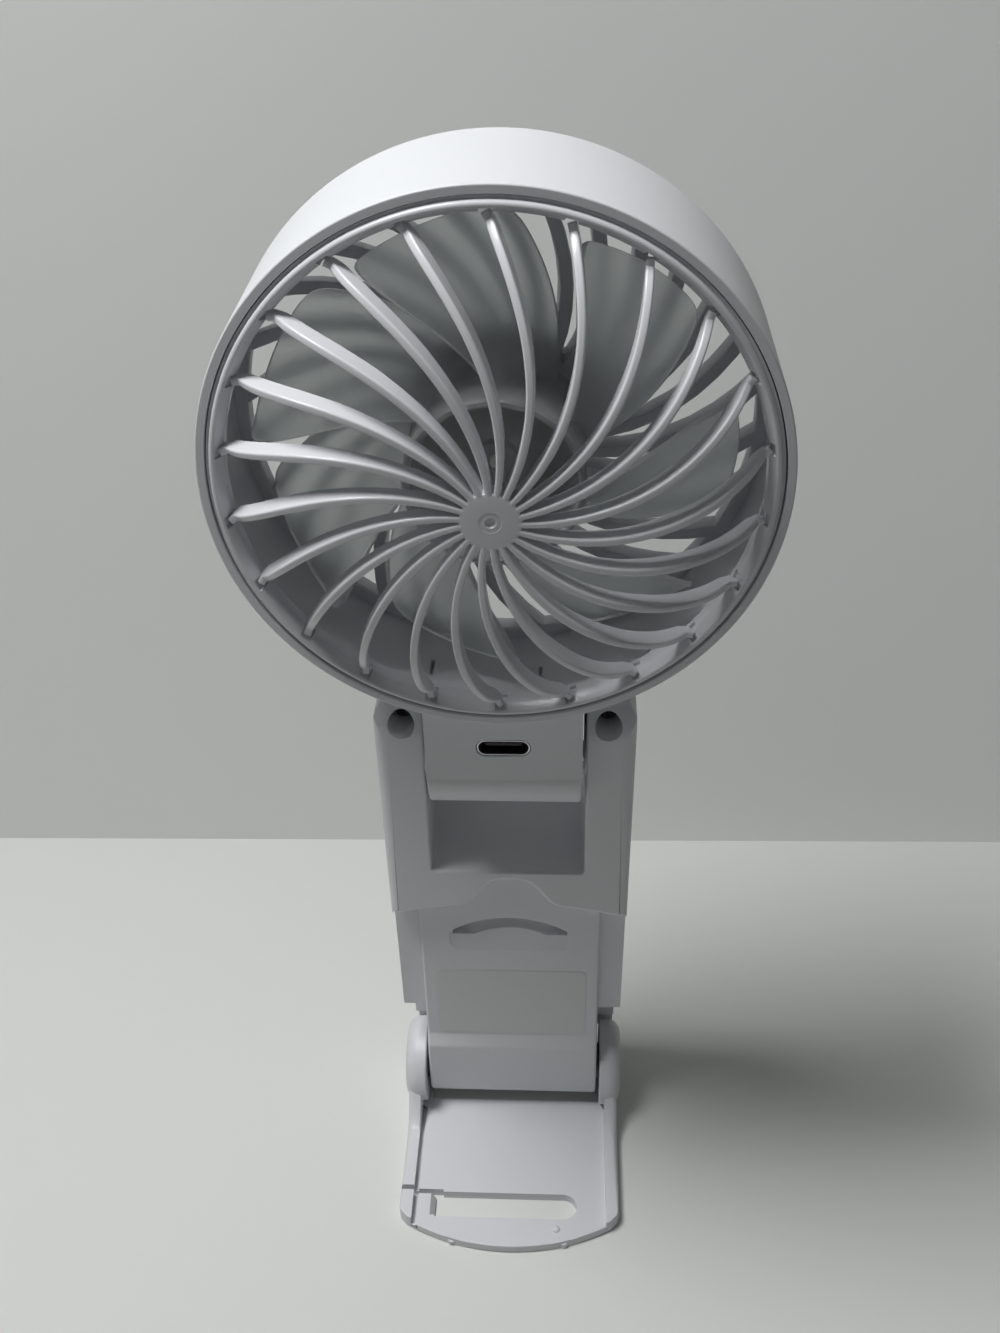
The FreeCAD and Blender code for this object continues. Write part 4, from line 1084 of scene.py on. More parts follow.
@dataclass
class Rotor:
    """Open hub cup with broad, swept, see-through blades."""

    axis_height: float = FAN_HEIGHT
    front: float = -19.28
    rear: float = -2.08
    hub_radius: float = 13.0
    hub_wall: float = 1.2
    web_front: float = -12.08
    web_thickness: float = 2.0
    boss_radius: float = 2.3
    boss_length: float = 2.4
    shaft_radius: float = 1.0
    blade_count: int = 7
    blade_thickness: float = 0.9
    blade_span: float = 43.0
    blade_sweep: float = 39.0
    blade_phase: float = 47.0
    blade_front: float = -14.98
    blade_rear: float = -4.98
    blade_stations: tuple[float, ...] = (12.3, 13.6, 17.0, 22.0, 27.0, 31.3, 34.7)
    blade_rows: int = 5
    blade_smoothing: int = 2
    tip_trims: tuple[tuple[float, float], ...] = ((34.7, 8.0), (31.3, 4.0), (27.0, 1.2))

    @property
    def centre(self) -> Vector:
        """Point where the fan's axis crosses the hinge's plane."""
        return Vector((0, 0, self.axis_height))

    def hub(self) -> bpy.types.Object:
        """Cup with a web in it and a boss for the shaft.

        Returns:
            The new piece.
        """
        front, rear, outer = self.front, self.rear, self.hub_radius
        inner = outer - self.hub_wall
        web = self.web_front
        back = web + self.web_thickness
        boss, shaft = self.boss_radius, self.shaft_radius
        section = [(front + 0.35, outer), (rear - 0.2, outer), (rear, outer - 0.2), (rear, inner + 0.2),
                   (rear - 0.2, inner), (back, inner), (back, boss), (back + self.boss_length, boss),
                   (back + self.boss_length, shaft), (web, shaft), (web - 0.5, 1.4), (web - 0.5, 3.2),
                   (web, 3.8), (web, inner - 0.8), (web - 0.8, inner), (front + 0.35, inner),
                   (front, inner + 0.35), (front, outer - 0.35)]
        return draw_turned("fan_rotor", section, self.centre, Axis.Y, 112)

    def blade(self) -> bpy.types.Object:
        """One blade: its rear edge is drawn and led round to the front edge in steps.

        Returns:
            The new piece.
        """
        root, tip = self.blade_stations[0], self.blade_stations[-1]
        edge = []
        for radius in self.blade_stations:
            share = (radius - root) / (tip - root)
            bearing = math.radians(self.blade_phase + self.blade_sweep * share ** 0.8)
            edge.append(self.centre + Vector((radius * math.cos(bearing), self.blade_rear,
                                              radius * math.sin(bearing))))
        piece = draw_line("blade", edge)
        rise = self.blade_front - self.blade_rear
        with editing(piece):
            for row in range(1, self.blade_rows + 1):
                share, before = row / self.blade_rows, (row - 1) / self.blade_rows
                push_out((0, rise * (0.8 * (share - before) + 0.2 * (share ** 2 - before ** 2)), 0))
                turn(-math.radians(self.blade_span / self.blade_rows), Axis.Y, self.centre)
            for radius, angle in self.tip_trims:
                choose(piece, "VERT", lambda corner: corner.co.y < self.blade_front + NEAR
                       and abs((corner.co - self.centre).xz.length - radius) < NEAR)
                turn(math.radians(angle), Axis.Y, self.centre)
            bpy.ops.mesh.select_all(action="SELECT")
            bpy.ops.mesh.normals_make_consistent(inside=False)
        smooth = piece.modifiers.new("smooth", "SUBSURF")
        smooth.levels = self.blade_smoothing
        smooth.render_levels = self.blade_smoothing
        wall = piece.modifiers.new("wall", "SOLIDIFY")
        wall.thickness = self.blade_thickness
        wall.offset = 0
        apply_all(piece)
        ease_edges(piece, 0.25, 60)
        return piece

    def build(self, materials: Materials) -> None:
        """Make and dress the rotor."""
        blades = copies_round(self.blade(), self.blade_count, self.centre, Axis.Y)
        hand_over(merge_pieces([self.hub(), *blades]), "fan_rotor", Body.ROTOR, materials, "smoky_plastic")


# neck

@dataclass
class Neck:
    """Two shells that carry the drum on the hinge, with the charging port between them."""

    half_width: float = 13.1
    wall: float = 1.4
    front: float = -11.64
    rear: float = DRUM_REAR
    hinge_depth: float = HINGE_DEPTH
    hinge_height: float = HINGE_HEIGHT
    top: float = 118.8
    drum_axis: float = FAN_HEIGHT
    drum_radius: float = DRUM_RADIUS
    drum_steps: int = DRUM_STEPS
    side_round: float = 0.7
    seam_round: float = 0.12
    port_height: float = 102.4
    port_width: float = 8.94
    port_thickness: float = 3.2
    port_front: float = -11.34
    port_depth: float = 7.3
    port_wall: float = 0.3
    port_gap: float = 0.1
    port_round: float = 0.18
    tongue_width: float = 6.7
    tongue_thickness: float = 0.7
    tongue_round: float = 0.6
    tongue_front: float = -10.34
    tongue_rear: float = -4.34
    screw: Screw = Screw(1.9, 1.4, 11.56)
    screw_spread: float = 7.0
    screw_height: float = 108.0
    screw_seat: float = 3.92
    seat_radius: float = 2.0
    past: float = 2.0

    def _column(self, name: str, inset: float) -> bpy.types.Object:
        """Neck's side form, drawn in by an inset all round.

        Args:
            name: name of the new piece.
            inset: how far it is drawn in.

        Returns:
            The new piece.
        """
        low = arc((self.hinge_depth, self.hinge_height), self.rear - self.hinge_depth - inset, 180, 360, 16)
        outline = [(self.front + inset, self.top), *low, (self.rear - inset, self.top)]
        return block(name, outline, Axis.X, inset - self.half_width, self.half_width - inset)

    def _drum(self, radius: float) -> bpy.types.Object:
        """Round tool where the drum sits on the neck."""
        last = 450 - 360 / self.drum_steps
        return block("saddle", arc((0, self.drum_axis), radius, 90, last, self.drum_steps - 1),
                     Axis.Y, self.front - self.past, self.rear + self.past)

    def _port_outline(self, grow: float) -> list[Pair]:
        """Flat-sided round-ended outline of the port.

        Args:
            grow: how far it is grown all round.

        Returns:
            The outline's points.
        """
        radius = self.port_thickness / 2 + grow
        reach = self.port_width / 2 - self.port_thickness / 2
        return [*arc((reach, self.port_height), radius, -90, 90, 10),
                *arc((-reach, self.port_height), radius, 90, 270, 10)]

    def shells(self) -> tuple[bpy.types.Object, bpy.types.Object]:
        """Front and rear shell, split on the hinge's plane.

        Returns:
            The front shell and the rear shell.
        """
        whole = self._column("neck", 0)
        carve(whole, self._drum(self.drum_radius))

        def on_side(edge: bmesh.types.BMEdge) -> bool:
            """Whether an edge runs round the side of the neck, below the drum."""
            return all(abs(abs(corner.co.x) - self.half_width) < NEAR and corner.co.z < self.top - 3.5
                       for corner in edge.verts)
        round_edges(whole, on_side, self.side_round, 3)
        hollow = self._column("neck_hollow", self.wall)
        carve(hollow, self._drum(self.drum_radius + self.wall))
        carve(whole, hollow, block("port_hole", self._port_outline(self.port_gap), Axis.Y,
                                   self.front - self.past, self.front + self.wall + self.past))

        def at_port(edge: bmesh.types.BMEdge) -> bool:
            """Whether an edge lies on the port's mouth."""
            return all(corner.co.y < self.front + self.wall / 2 and abs(corner.co.x) < self.port_width
                       and abs(corner.co.z - self.port_height) < self.port_thickness for corner in edge.verts)
        round_edges(whole, at_port, self.port_round, 2)
        seat, radius, edge = self.screw_seat, self.seat_radius, self.rear + 0.1
        for place in (-self.screw_spread, self.screw_spread):
            carve(whole, draw_turned("screw_seat", [
                (seat, 0), (seat, radius), (self.rear - 0.2, radius), (edge, radius + 0.3), (edge, 0)],
                (place, 0, self.screw_height), Axis.Y, 32, closed=False))
        front, rear = split(whole, "neck_front_shell", "neck_rear_shell", self.hinge_depth)
        for half in (front, rear):
            ease_seam(half, self.hinge_depth, self.seam_round)
        return front, rear

    def port(self) -> bpy.types.Object:
        """Drawn metal shell of the port, open to the front.

        Returns:
            The new piece.
        """
        shell = block("port_shell", self._port_outline(0), Axis.Y, self.port_front,
                      self.port_front + self.port_depth)
        rim = self.port_front + NEAR
        with editing(shell):
            choose(shell, "FACE", lambda face: face.calc_center_median().y < rim)
            bpy.ops.mesh.inset(thickness=self.port_wall)
            push_out((0, self.port_depth - self.port_wall, 0))
        round_edges(shell, lambda edge: all(corner.co.y < rim for corner in edge.verts), 0.1, 2)
        return shell

    def tongue(self) -> bpy.types.Object:
        """Contact tongue with rounded front corners.

        Returns:
            The new piece.
        """
        half, thick, soft = self.tongue_width / 2, self.tongue_thickness / 2, self.tongue_round
        outline = soft_outline([(-half, self.tongue_front, soft), (half, self.tongue_front, soft),
                                (half, self.tongue_rear, 0), (-half, self.tongue_rear, 0)])
        tongue = block("port_tongue", outline, Axis.Z, self.port_height - thick, self.port_height + thick)
        ease_edges(tongue, 0.08)
        return tongue

    def build(self, materials: Materials) -> None:
        """Make and dress the neck.

        Args:
            materials: every finish.
        """
        front, rear = self.shells()
        hand_over(front, "neck_front_shell", Body.HEAD, materials, "white_plastic")
        hand_over(rear, "neck_rear_shell", Body.HEAD, materials, "white_plastic")
        hand_over(self.port(), "port_shell", Body.HEAD, materials, "bright_steel")
        hand_over(self.tongue(), "port_tongue", Body.HEAD, materials, "black_plastic")
        screws = self.screw.pair("neck_screw", self.screw_spread, self.screw_seat, self.screw_height, 1)
        hand_over(screws, "neck_screws", Body.HEAD, materials, "dark_steel")


# handle

@dataclass
class Handle:
    """Front shell with the fork, the pocket and the panel, rear cover and their trim."""

    half_width: float = 22.3
    foot_half_width: float = 21.34
    upper_face: float = -7.6
    panel_face: float = -5.1
    strip_face: float = -3.4
    rear: float = 12.4
    split_face: float = 8.9
    top: float = 107.6
    top_round: float = 7.5
    corner_round: float = 4.0
    front_round: float = 2.5
    rear_round: float = 5.0
    past: float = 5.0
    wall: float = 1.5
    seam_round: float = 0.12
    # fork and pocket
    fork_half_gap: float = 13.8
    fork_floor: float = 85.4
    pocket_floor: float = 70.4
    pocket_fillet: float = 0.8
    rim_round: float = 0.45
    hinge_depth: float = HINGE_DEPTH
    hinge_height: float = HINGE_HEIGHT
    # low rib and round collar on the fork's inner faces
    rib_front: float = 1.5
    rib_height: float = 0.28
    collar_radius: float = 4.6
    # step between the upper face and the panel
    step_base: float = 57.0
    step_height: float = 62.0
    step_radius: float = 73.0
    step_soft: float = 1.15
    bump_rise: float = 6.1
    bump_half_width: float = 6.1
    bump_centre: float = 0.3
    panel_half_width: float = 17.1
    panel_soft: float = 0.55
    # dish for the fingertip, and the soft fall of its floor under the upper rim
    dish_radius: float = 18.5
    dish_half_width: float = 11.6
    dish_top: float = 56.2
    dish_height: float = 9.1
    dish_depth: float = 0.8
    dish_fillet: float = 0.5
    dish_shoulder: float = 1.2
    dish_corner: float = 2.6
    shade_depth: float = 2.9
    shade_width: float = 3.3
    shade_reach: float = 10.9
    shade_drop: float = 4.7
    # foot
    ledge_top: float = 23.1
    ledge_foot: float = 20.4
    ledge_round: float = 2.4
    barrel_radius: float = 6.3
    barrel_half_width: float = 17.1
    axis_height: float = STAND_AXIS
    foot_height: float = 2.3
    notch_height: float = 30.0
    notch_depth: float = 5.5
    notch_draw: float = 0.6
    soft_reach: float = 3.15
    ear_sweep: float = 9.8
    bore_radius: float = 1.3
    # screws
    cheek_screw: Screw = Screw(1.85, 1.4, 12.0)
    cover_screw: Screw = Screw(1.9, 1.2, 11.7)
    cheek_spread: float = 17.45
    cheek_height: float = 103.3
    cheek_recess: float = 2.3
    cheek_depth: float = 6.5
    cover_spread: float = 17.2
    cover_height: float = 36.5
    cover_seat: float = 10.8
    cover_recess: float = 2.0
    # rear controls
    button_height: float = BUTTON_HEIGHT
    button_hole: float = 4.8
    light_height: float = 48.0
    light_pitch: float = 3.2
    light_count: int = 4
    light_radius: float = 0.9
    light_inner: float = 7.9
    light_gap: float = 0.03
    # label
    label_half_width: float = 14.7
    label_base: float = 23.7
    label_length: float = 18.2
    label_round: float = 1.2
    label_thickness: float = 0.12

    def _step_line(self, reach: float, steps: int) -> list[Pair]:
        """Bowed lower edge of the upper face, with the bell over the thumb's place.

        Args:
            reach: how far to each side it goes.
            steps: number of straight runs.

        Returns:
            The line's points, from left to right.
        """
        line = []
        for index in range(steps + 1):
            across = -reach + 2 * reach * index / steps
            bell = math.exp(-((across - self.bump_centre) / self.bump_half_width) ** 4)
            bow = across ** 2 / 2 / self.step_radius
            line.append((across, self.step_height - bow + self.bump_rise * bell))
        return line

    def _form(self) -> bpy.types.Object:
        """Outer form: the plan, the front view and the side view met together.

        Returns:
            The new piece.
        """
        wide, narrow, front, rear = self.half_width, self.foot_half_width, self.upper_face, self.rear
        form = block("handle", soft_outline([
            (-wide, front, self.front_round), (wide, front, self.front_round), (wide, rear, self.rear_round),
            (-wide, rear, self.rear_round)], 6), Axis.Z, -self.past, self.top + self.past)
        front_view = block("front_view", soft_outline([
            (-narrow, 0, 0), (narrow, 0, 0), (wide, self.top, self.corner_round),
            (-wide, self.top, self.corner_round)], 6), Axis.Y, front - self.past, rear + self.past)
        barrel = arc((0, self.axis_height), self.barrel_radius, 180, 278, 12)
        side_view = block("side_view", barrel + soft_outline([
            (1.0, self.foot_height, 0), (6.5, self.foot_height, 0.8), (rear, self.axis_height, 3.0),
            (rear, self.top, self.top_round), (front, self.top, self.top_round), (front, self.step_base, 0),
            (self.panel_face, self.step_base, 0), (self.panel_face, self.ledge_top, self.ledge_round),
            (-self.barrel_radius, self.ledge_foot, self.ledge_round),
            (-self.barrel_radius, self.axis_height + NEAR, 0)], 7),
            Axis.X, -wide - self.past, wide + self.past)
        combine(form, front_view, "INTERSECT")
        combine(form, side_view, "INTERSECT")
        return form

    def _fork(self) -> bpy.types.Object:
        """Tool for the fork's gap and the pocket under it.

        Returns:
            The tool.
        """
        ahead, far, above = self.upper_face - self.past, self.rear + self.past, self.top + self.past
        radius = self.fork_floor - self.pocket_floor
        outline = [(ahead, self.pocket_floor), *arc((self.upper_face, self.fork_floor), radius, -90, 0, 14),
                   (far, self.fork_floor), (far, above), (ahead, above)]
        tool = block("fork", outline, Axis.X, -self.fork_half_gap, self.fork_half_gap)

        def under_gap(edge: bmesh.types.BMEdge) -> bool:
            """Whether an edge runs along the pocket's curved back, at its side."""
            return all(abs(abs(corner.co.x) - self.fork_half_gap) < NEAR
                       and corner.co.z < self.fork_floor - NEAR for corner in edge.verts)
        round_edges(tool, under_gap, self.pocket_fillet, 4)
        return tool

    def _dish(self) -> bpy.types.Object:
        """Tool for the fingertip dish: deep under its bowed upper rim, run out at its foot.

        Returns:
            The tool.
        """
        reach, foot = self.dish_half_width, self.dish_top - self.dish_height
        start = math.degrees(math.acos(reach / self.dish_radius))
        crown = arc((0, self.dish_top - self.dish_radius), self.dish_radius, start, 180 - start, 32)
        rounds = [self.dish_shoulder] + [0.0] * (len(crown) - 2) + [self.dish_shoulder]
        corners = [(across, up, soft) for (across, up), soft in zip(crown, rounds)]
        corners += [(-reach, foot, self.dish_corner), (reach, foot, self.dish_corner)]
        tool = block("dish", soft_outline(corners, 5), Axis.Y, self.panel_face - self.past, self.panel_face)
        inmost = self.panel_face - NEAR
        round_edges(tool, lambda edge: all(corner.co.y > inmost for corner in edge.verts),
                    self.dish_fillet, 4)
        with editing(tool):
            turn(-math.atan2(self.dish_depth, self.dish_height), Axis.X, (0, self.panel_face, foot))
        return tool

    def _dish_shade(self) -> bpy.types.Object:
        """Tool that lets the dish's floor fall away in a soft curve under its upper rim.

        Returns:
            The tool.
        """
        face, rim, deep, wide = self.panel_face, self.dish_radius, self.shade_depth, self.shade_width
        fall = [(0.93, 0.3), (0.74, 0.5), (0.46, 0.7), (0.24, 0.85), (0.0, 1.1)]
        section = [(face - 1, rim + 0.15), (face + deep - 0.3, rim + 0.15), (face + deep, rim - 0.2)]
        section += [(face + deep * down, rim - wide * along) for down, along in fall]
        section.append((face - 1, rim - wide * fall[-1][1]))
        tool = draw_turned("dish_shade", section, (0, 0, self.dish_top - self.dish_radius), Axis.Y, 150)
        reach, low = self.shade_reach, self.dish_top - self.shade_drop
        window = box("window", (-reach, face - self.past, low), (reach, face + self.past, self.dish_top + 1),
                     Axis.Y)
        combine(tool, window, "INTERSECT")
        return tool

    def _ear_room(self, side: int) -> bpy.types.Object:
        """Tool for the room that one ear of the stand turns in.

        Args:
            side: 1 for the right, -1 for the left.

        Returns:
            The tool.
        """
        ahead, far, below = self.upper_face - self.past, self.rear + self.past, -self.past
        reach = math.degrees(math.acos(self.notch_depth / self.ear_sweep))
        outline = [(ahead, below), (ahead, self.notch_height), (self.notch_depth, self.notch_height),
                   *arc((0, self.axis_height), self.ear_sweep, reach, 0, 10), (far, self.axis_height),
                   (far, below)]
        return block("ear_room", outline, Axis.X, side * self.barrel_half_width,
                     side * (self.half_width + self.past))

    def _ear_side(self, side: int) -> bpy.types.Object:
        """Tool that draws the foot in at the side, over the ear.

        Args:
            side: 1 for the right, -1 for the left.

        Returns:
            The tool.
        """
        ahead, far = self.notch_depth - 0.5, self.rear + self.past
        outline = [(ahead, self.notch_height), (ahead, self.axis_height), (far, self.axis_height),
                   (far, self.notch_height - 6)]
        return block("ear_side", outline, Axis.X, side * (self.foot_half_width - self.notch_draw),
                     side * (self.half_width + self.past))

    def _rib(self, side: int) -> bpy.types.Object:
        """Low rib and collar on the fork's inner face, close to the neck's side.

        Args:
            side: 1 for the right, -1 for the left.

        Returns:
            The new piece.
        """
        near = side * (self.fork_half_gap - self.rib_height)
        far = side * (self.fork_half_gap + self.rib_height)
        base, top, back = self.fork_floor + 0.8, self.top - 1.8, self.split_face - 0.3
        rib = block("rib", [(self.rib_front, base), (self.rib_front + self.rib_height, top), (back, top),
                            (back, base)], Axis.X, near, far)
        collar = block("collar", arc((self.hinge_depth, self.hinge_height), self.collar_radius, 0, 350, 35),
                       Axis.X, near, far)
        combine(rib, collar, "UNION")
        return rib

    def _cavity(self) -> bpy.types.Object:
        """Tool for the hollow, kept a wall away from the pocket and the screws.

        Returns:
            The tool.
        """
        inner, rear = self.foot_half_width - self.wall, self.rear - self.wall
        low, high = self.notch_height + self.wall, 100.0
        front, upper = self.strip_face + self.wall, self.upper_face + self.wall
        room = block("cavity", [(front, low), (front, 68.0), (upper, 69.3), (upper, high), (rear, high),
                                (rear, low)], Axis.X, -inner, inner)
        near, ahead, far = self.fork_half_gap + self.wall, self.upper_face - 1, self.rear + 1
        radius = self.fork_floor - self.pocket_floor + self.wall
        level = -math.degrees(math.asin(self.wall / radius))
        liner = block("liner", [(ahead, self.pocket_floor - self.wall),
                                *arc((self.upper_face, self.fork_floor), radius, -90, level, 10),
                                (far, self.fork_floor - self.wall), (far, self.top), (ahead, self.top)],
                      Axis.X, -near, near)
        carve(room, liner)
        return room

    def _light_places(self) -> list[float]:
        """How far to the side each indicator light sits."""
        return [(index - (self.light_count - 1) / 2) * self.light_pitch for index in range(self.light_count)]

    def _carved(self) -> bpy.types.Object:
        """Whole handle with everything taken out of it.

        Returns:
            The new piece.
        """
        form = self._form()
        carve(form, self._fork())
        ahead, reach, half = self.upper_face - self.past, self.half_width + 1, self.panel_half_width
        panel = block("panel", [*self._step_line(reach, 46), (reach, -1), (-reach, -1)], Axis.Y,
                      ahead, self.strip_face)
        carve(panel, box("panel_core", (-half, self.panel_face, -2),
                         (half, self.strip_face + 1, self.fork_floor), Axis.Y))
        carve(panel, box("foot_core", (-half, ahead - 1, -2),
                         (half, self.panel_face + NEAR, self.step_base - NEAR), Axis.Y))
        carve(form, panel)
        for side in (1, -1):
            carve(form, self._ear_room(side), self._ear_side(side))
        carve(form, self._dish(), self._dish_shade())
        face, radius, floor = self.upper_face, self.cheek_recess, self.upper_face + self.cheek_depth
        for side in (1, -1):
            carve(form, draw_turned("cheek_recess", [
                (face - 1, 0), (face - 1, radius + 0.15), (face, radius + 0.15), (face + 0.15, radius),
                (floor, radius), (floor, 0)],
                (side * self.cheek_spread, 0, self.cheek_height), Axis.Y, 40, closed=False))
        carve(form, self._cavity())
        end = self.barrel_half_width + 1
        bore = arc((0, self.axis_height), self.bore_radius, 0, 345, 23)
        carve(form, block("stand_bore", bore, Axis.X, -end, end))
        tidy_faces(form)
        return form

    def _soften(self, form: bpy.types.Object) -> None:
        """Round the edges that show, each by its own width.

        Args:
            form: the front shell.
        """
        gap, floor = self.fork_half_gap, self.pocket_floor

        def fork_rim(edge: bmesh.types.BMEdge) -> bool:
            """Whether an edge is on the rim of the fork or the pocket."""
            return is_sharp(edge, 0.6) and all(
                abs(corner.co.x) < gap + 0.02 and corner.co.z > floor - 0.02 for corner in edge.verts)

        def step_edge(edge: bmesh.types.BMEdge) -> bool:
            """Whether an edge is on the lower rim of the upper face."""
            return is_sharp(edge, 1.2) and all(
                abs(corner.co.y - self.upper_face) < 0.9 and self.step_base < corner.co.z < floor - 0.5
                for corner in edge.verts)

        def side_edge(edge: bmesh.types.BMEdge) -> bool:
            """Whether an edge runs down the side of the panel or the barrel."""
            return is_sharp(edge, 1.2) and all(
                abs(abs(corner.co.x) - self.panel_half_width) < 0.02 and corner.co.y < self.soft_reach
                and math.hypot(corner.co.y, corner.co.z - self.axis_height) > 2 for corner in edge.verts)
        round_edges(form, fork_rim, self.rim_round, 3)
        round_edges(form, step_edge, self.step_soft, 5)
        round_edges(form, side_edge, self.panel_soft, 3)

    def _rear_hole(self, name: str, place: Point, section: Sequence[Pair], steps: int) -> bpy.types.Object:
        """Round tool for a hole in the rear cover, with an eased mouth.

        Args:
            name: name of the new piece.
            place: a point on the hole's axis.
            section: depth and radius at the hole's floor, under its mouth and at its mouth.
            steps: facets in a full turn.

        Returns:
            The tool.
        """
        return draw_turned(name, [(section[0][0], 0), *section, (section[-1][0], 0)], place, Axis.Y, steps,
                           closed=False)

    def shells(self) -> tuple[bpy.types.Object, bpy.types.Object]:
        """Front shell and rear cover.

        Returns:
            The front shell and the rear cover.
        """
        front, rear = split(self._carved(), "handle_front_shell", "handle_rear_cover", self.split_face)
        floor, edge = self.split_face - 1, self.rear + 0.1
        wide, light, recess = self.button_hole, self.light_radius, self.cover_recess
        carve(rear, self._rear_hole("button_hole", (0, 0, self.button_height),
                                    [(floor, wide), (self.rear - 0.4, wide), (edge, wide + 0.5)], 56))
        for place in self._light_places():
            carve(rear, self._rear_hole("light_hole", (place, 0, self.light_height),
                                        [(floor, light), (self.rear - 0.12, light), (edge, light + 0.2)], 24))
        for side in (1, -1):
            carve(rear, self._rear_hole(
                "cover_recess", (side * self.cover_spread, 0, self.cover_height),
                [(self.cover_seat, recess), (self.rear - 0.2, recess), (edge, recess + 0.3)], 32))
        for half in (front, rear):
            ease_seam(half, self.split_face, self.seam_round)
        self._soften(front)
        return merge_pieces([front, self._rib(1), self._rib(-1)]), rear

    def label(self) -> bpy.types.Object:
        """Bare label with rounded corners.

        Returns:
            The new piece.
        """
        half, base, high = self.label_half_width, self.label_base, self.label_base + self.label_length
        soft, face = self.label_round, self.panel_face - self.label_thickness
        sticker = block("label_plate", soft_outline([
            (-half, base, soft), (half, base, soft), (half, high, soft), (-half, high, soft)], 5),
            Axis.Y, face, self.panel_face)
        front = face + NEAR / 10
        round_edges(sticker, lambda edge: all(corner.co.y < front for corner in edge.verts), 0.05, 2)
        return sticker

    def lights(self) -> bpy.types.Object:
        """Light windows with domed ends.

        Returns:
            All of them as one piece.
        """
        rear, start, wide = self.rear, self.light_inner, self.light_radius - self.light_gap
        rods = [draw_turned("light_window", [
            (start, 0), (start, wide), (rear - 0.2, wide), (rear - 0.08, wide - 0.09), (rear, wide - 0.37),
            (rear, 0)], (place, 0, self.light_height), Axis.Y, 24, closed=False)
            for place in self._light_places()]
        return merge_pieces(rods)

    def build(self, materials: Materials) -> None:
        """Make and dress the handle.

        Args:
            materials: every finish.
        """
        front, rear = self.shells()
        hand_over(front, "handle_front_shell", Body.HANDLE, materials, "white_plastic")
        hand_over(rear, "handle_rear_cover", Body.HANDLE, materials, "white_plastic")
        hand_over(self.label(), "label_plate", Body.HANDLE, materials, "label_paper")
        hand_over(self.lights(), "light_windows", Body.HANDLE, materials, "clear_plastic")
        cheeks = self.cheek_screw.pair("cheek_screw", self.cheek_spread, self.upper_face + self.cheek_depth,
                                       self.cheek_height, -1)
        hand_over(cheeks, "cheek_screws", Body.HANDLE, materials, "dark_steel")
        covers = self.cover_screw.pair("cover_screw", self.cover_spread, self.cover_seat,
                                       self.cover_height, 1)
        hand_over(covers, "cover_screws", Body.HANDLE, materials, "dark_steel")


@dataclass
class Button:
    """Round power button with a dished face."""

    height: float = BUTTON_HEIGHT
    radius: float = 4.5
    collar_radius: float = 5.6
    inner: float = 9.6
    collar_top: float = 10.6
    face: float = 13.0
    stem_radius: float = 1.5
    stem_end: float = 9.05

    def build(self, materials: Materials) -> None:
        """Make and dress the button.

        Args:
            materials: every finish.
        """
        face, wide, stem = self.face, self.radius, self.stem_radius
        piece = draw_turned("power_button", [
            (self.stem_end, 0), (self.stem_end, stem), (self.inner, stem), (self.inner, self.collar_radius),
            (self.collar_top, self.collar_radius), (self.collar_top, wide), (face - 0.45, wide),
            (face - 0.14, wide - 0.13), (face, wide - 0.5), (face, wide - 1.0), (face - 0.16, wide - 1.6),
            (face - 0.3, wide - 2.7), (face - 0.35, 0)], (0, 0, self.height), Axis.Y, 64, closed=False)
        hand_over(piece, "power_button", Body.BUTTON, materials, "button_plastic")


# stand

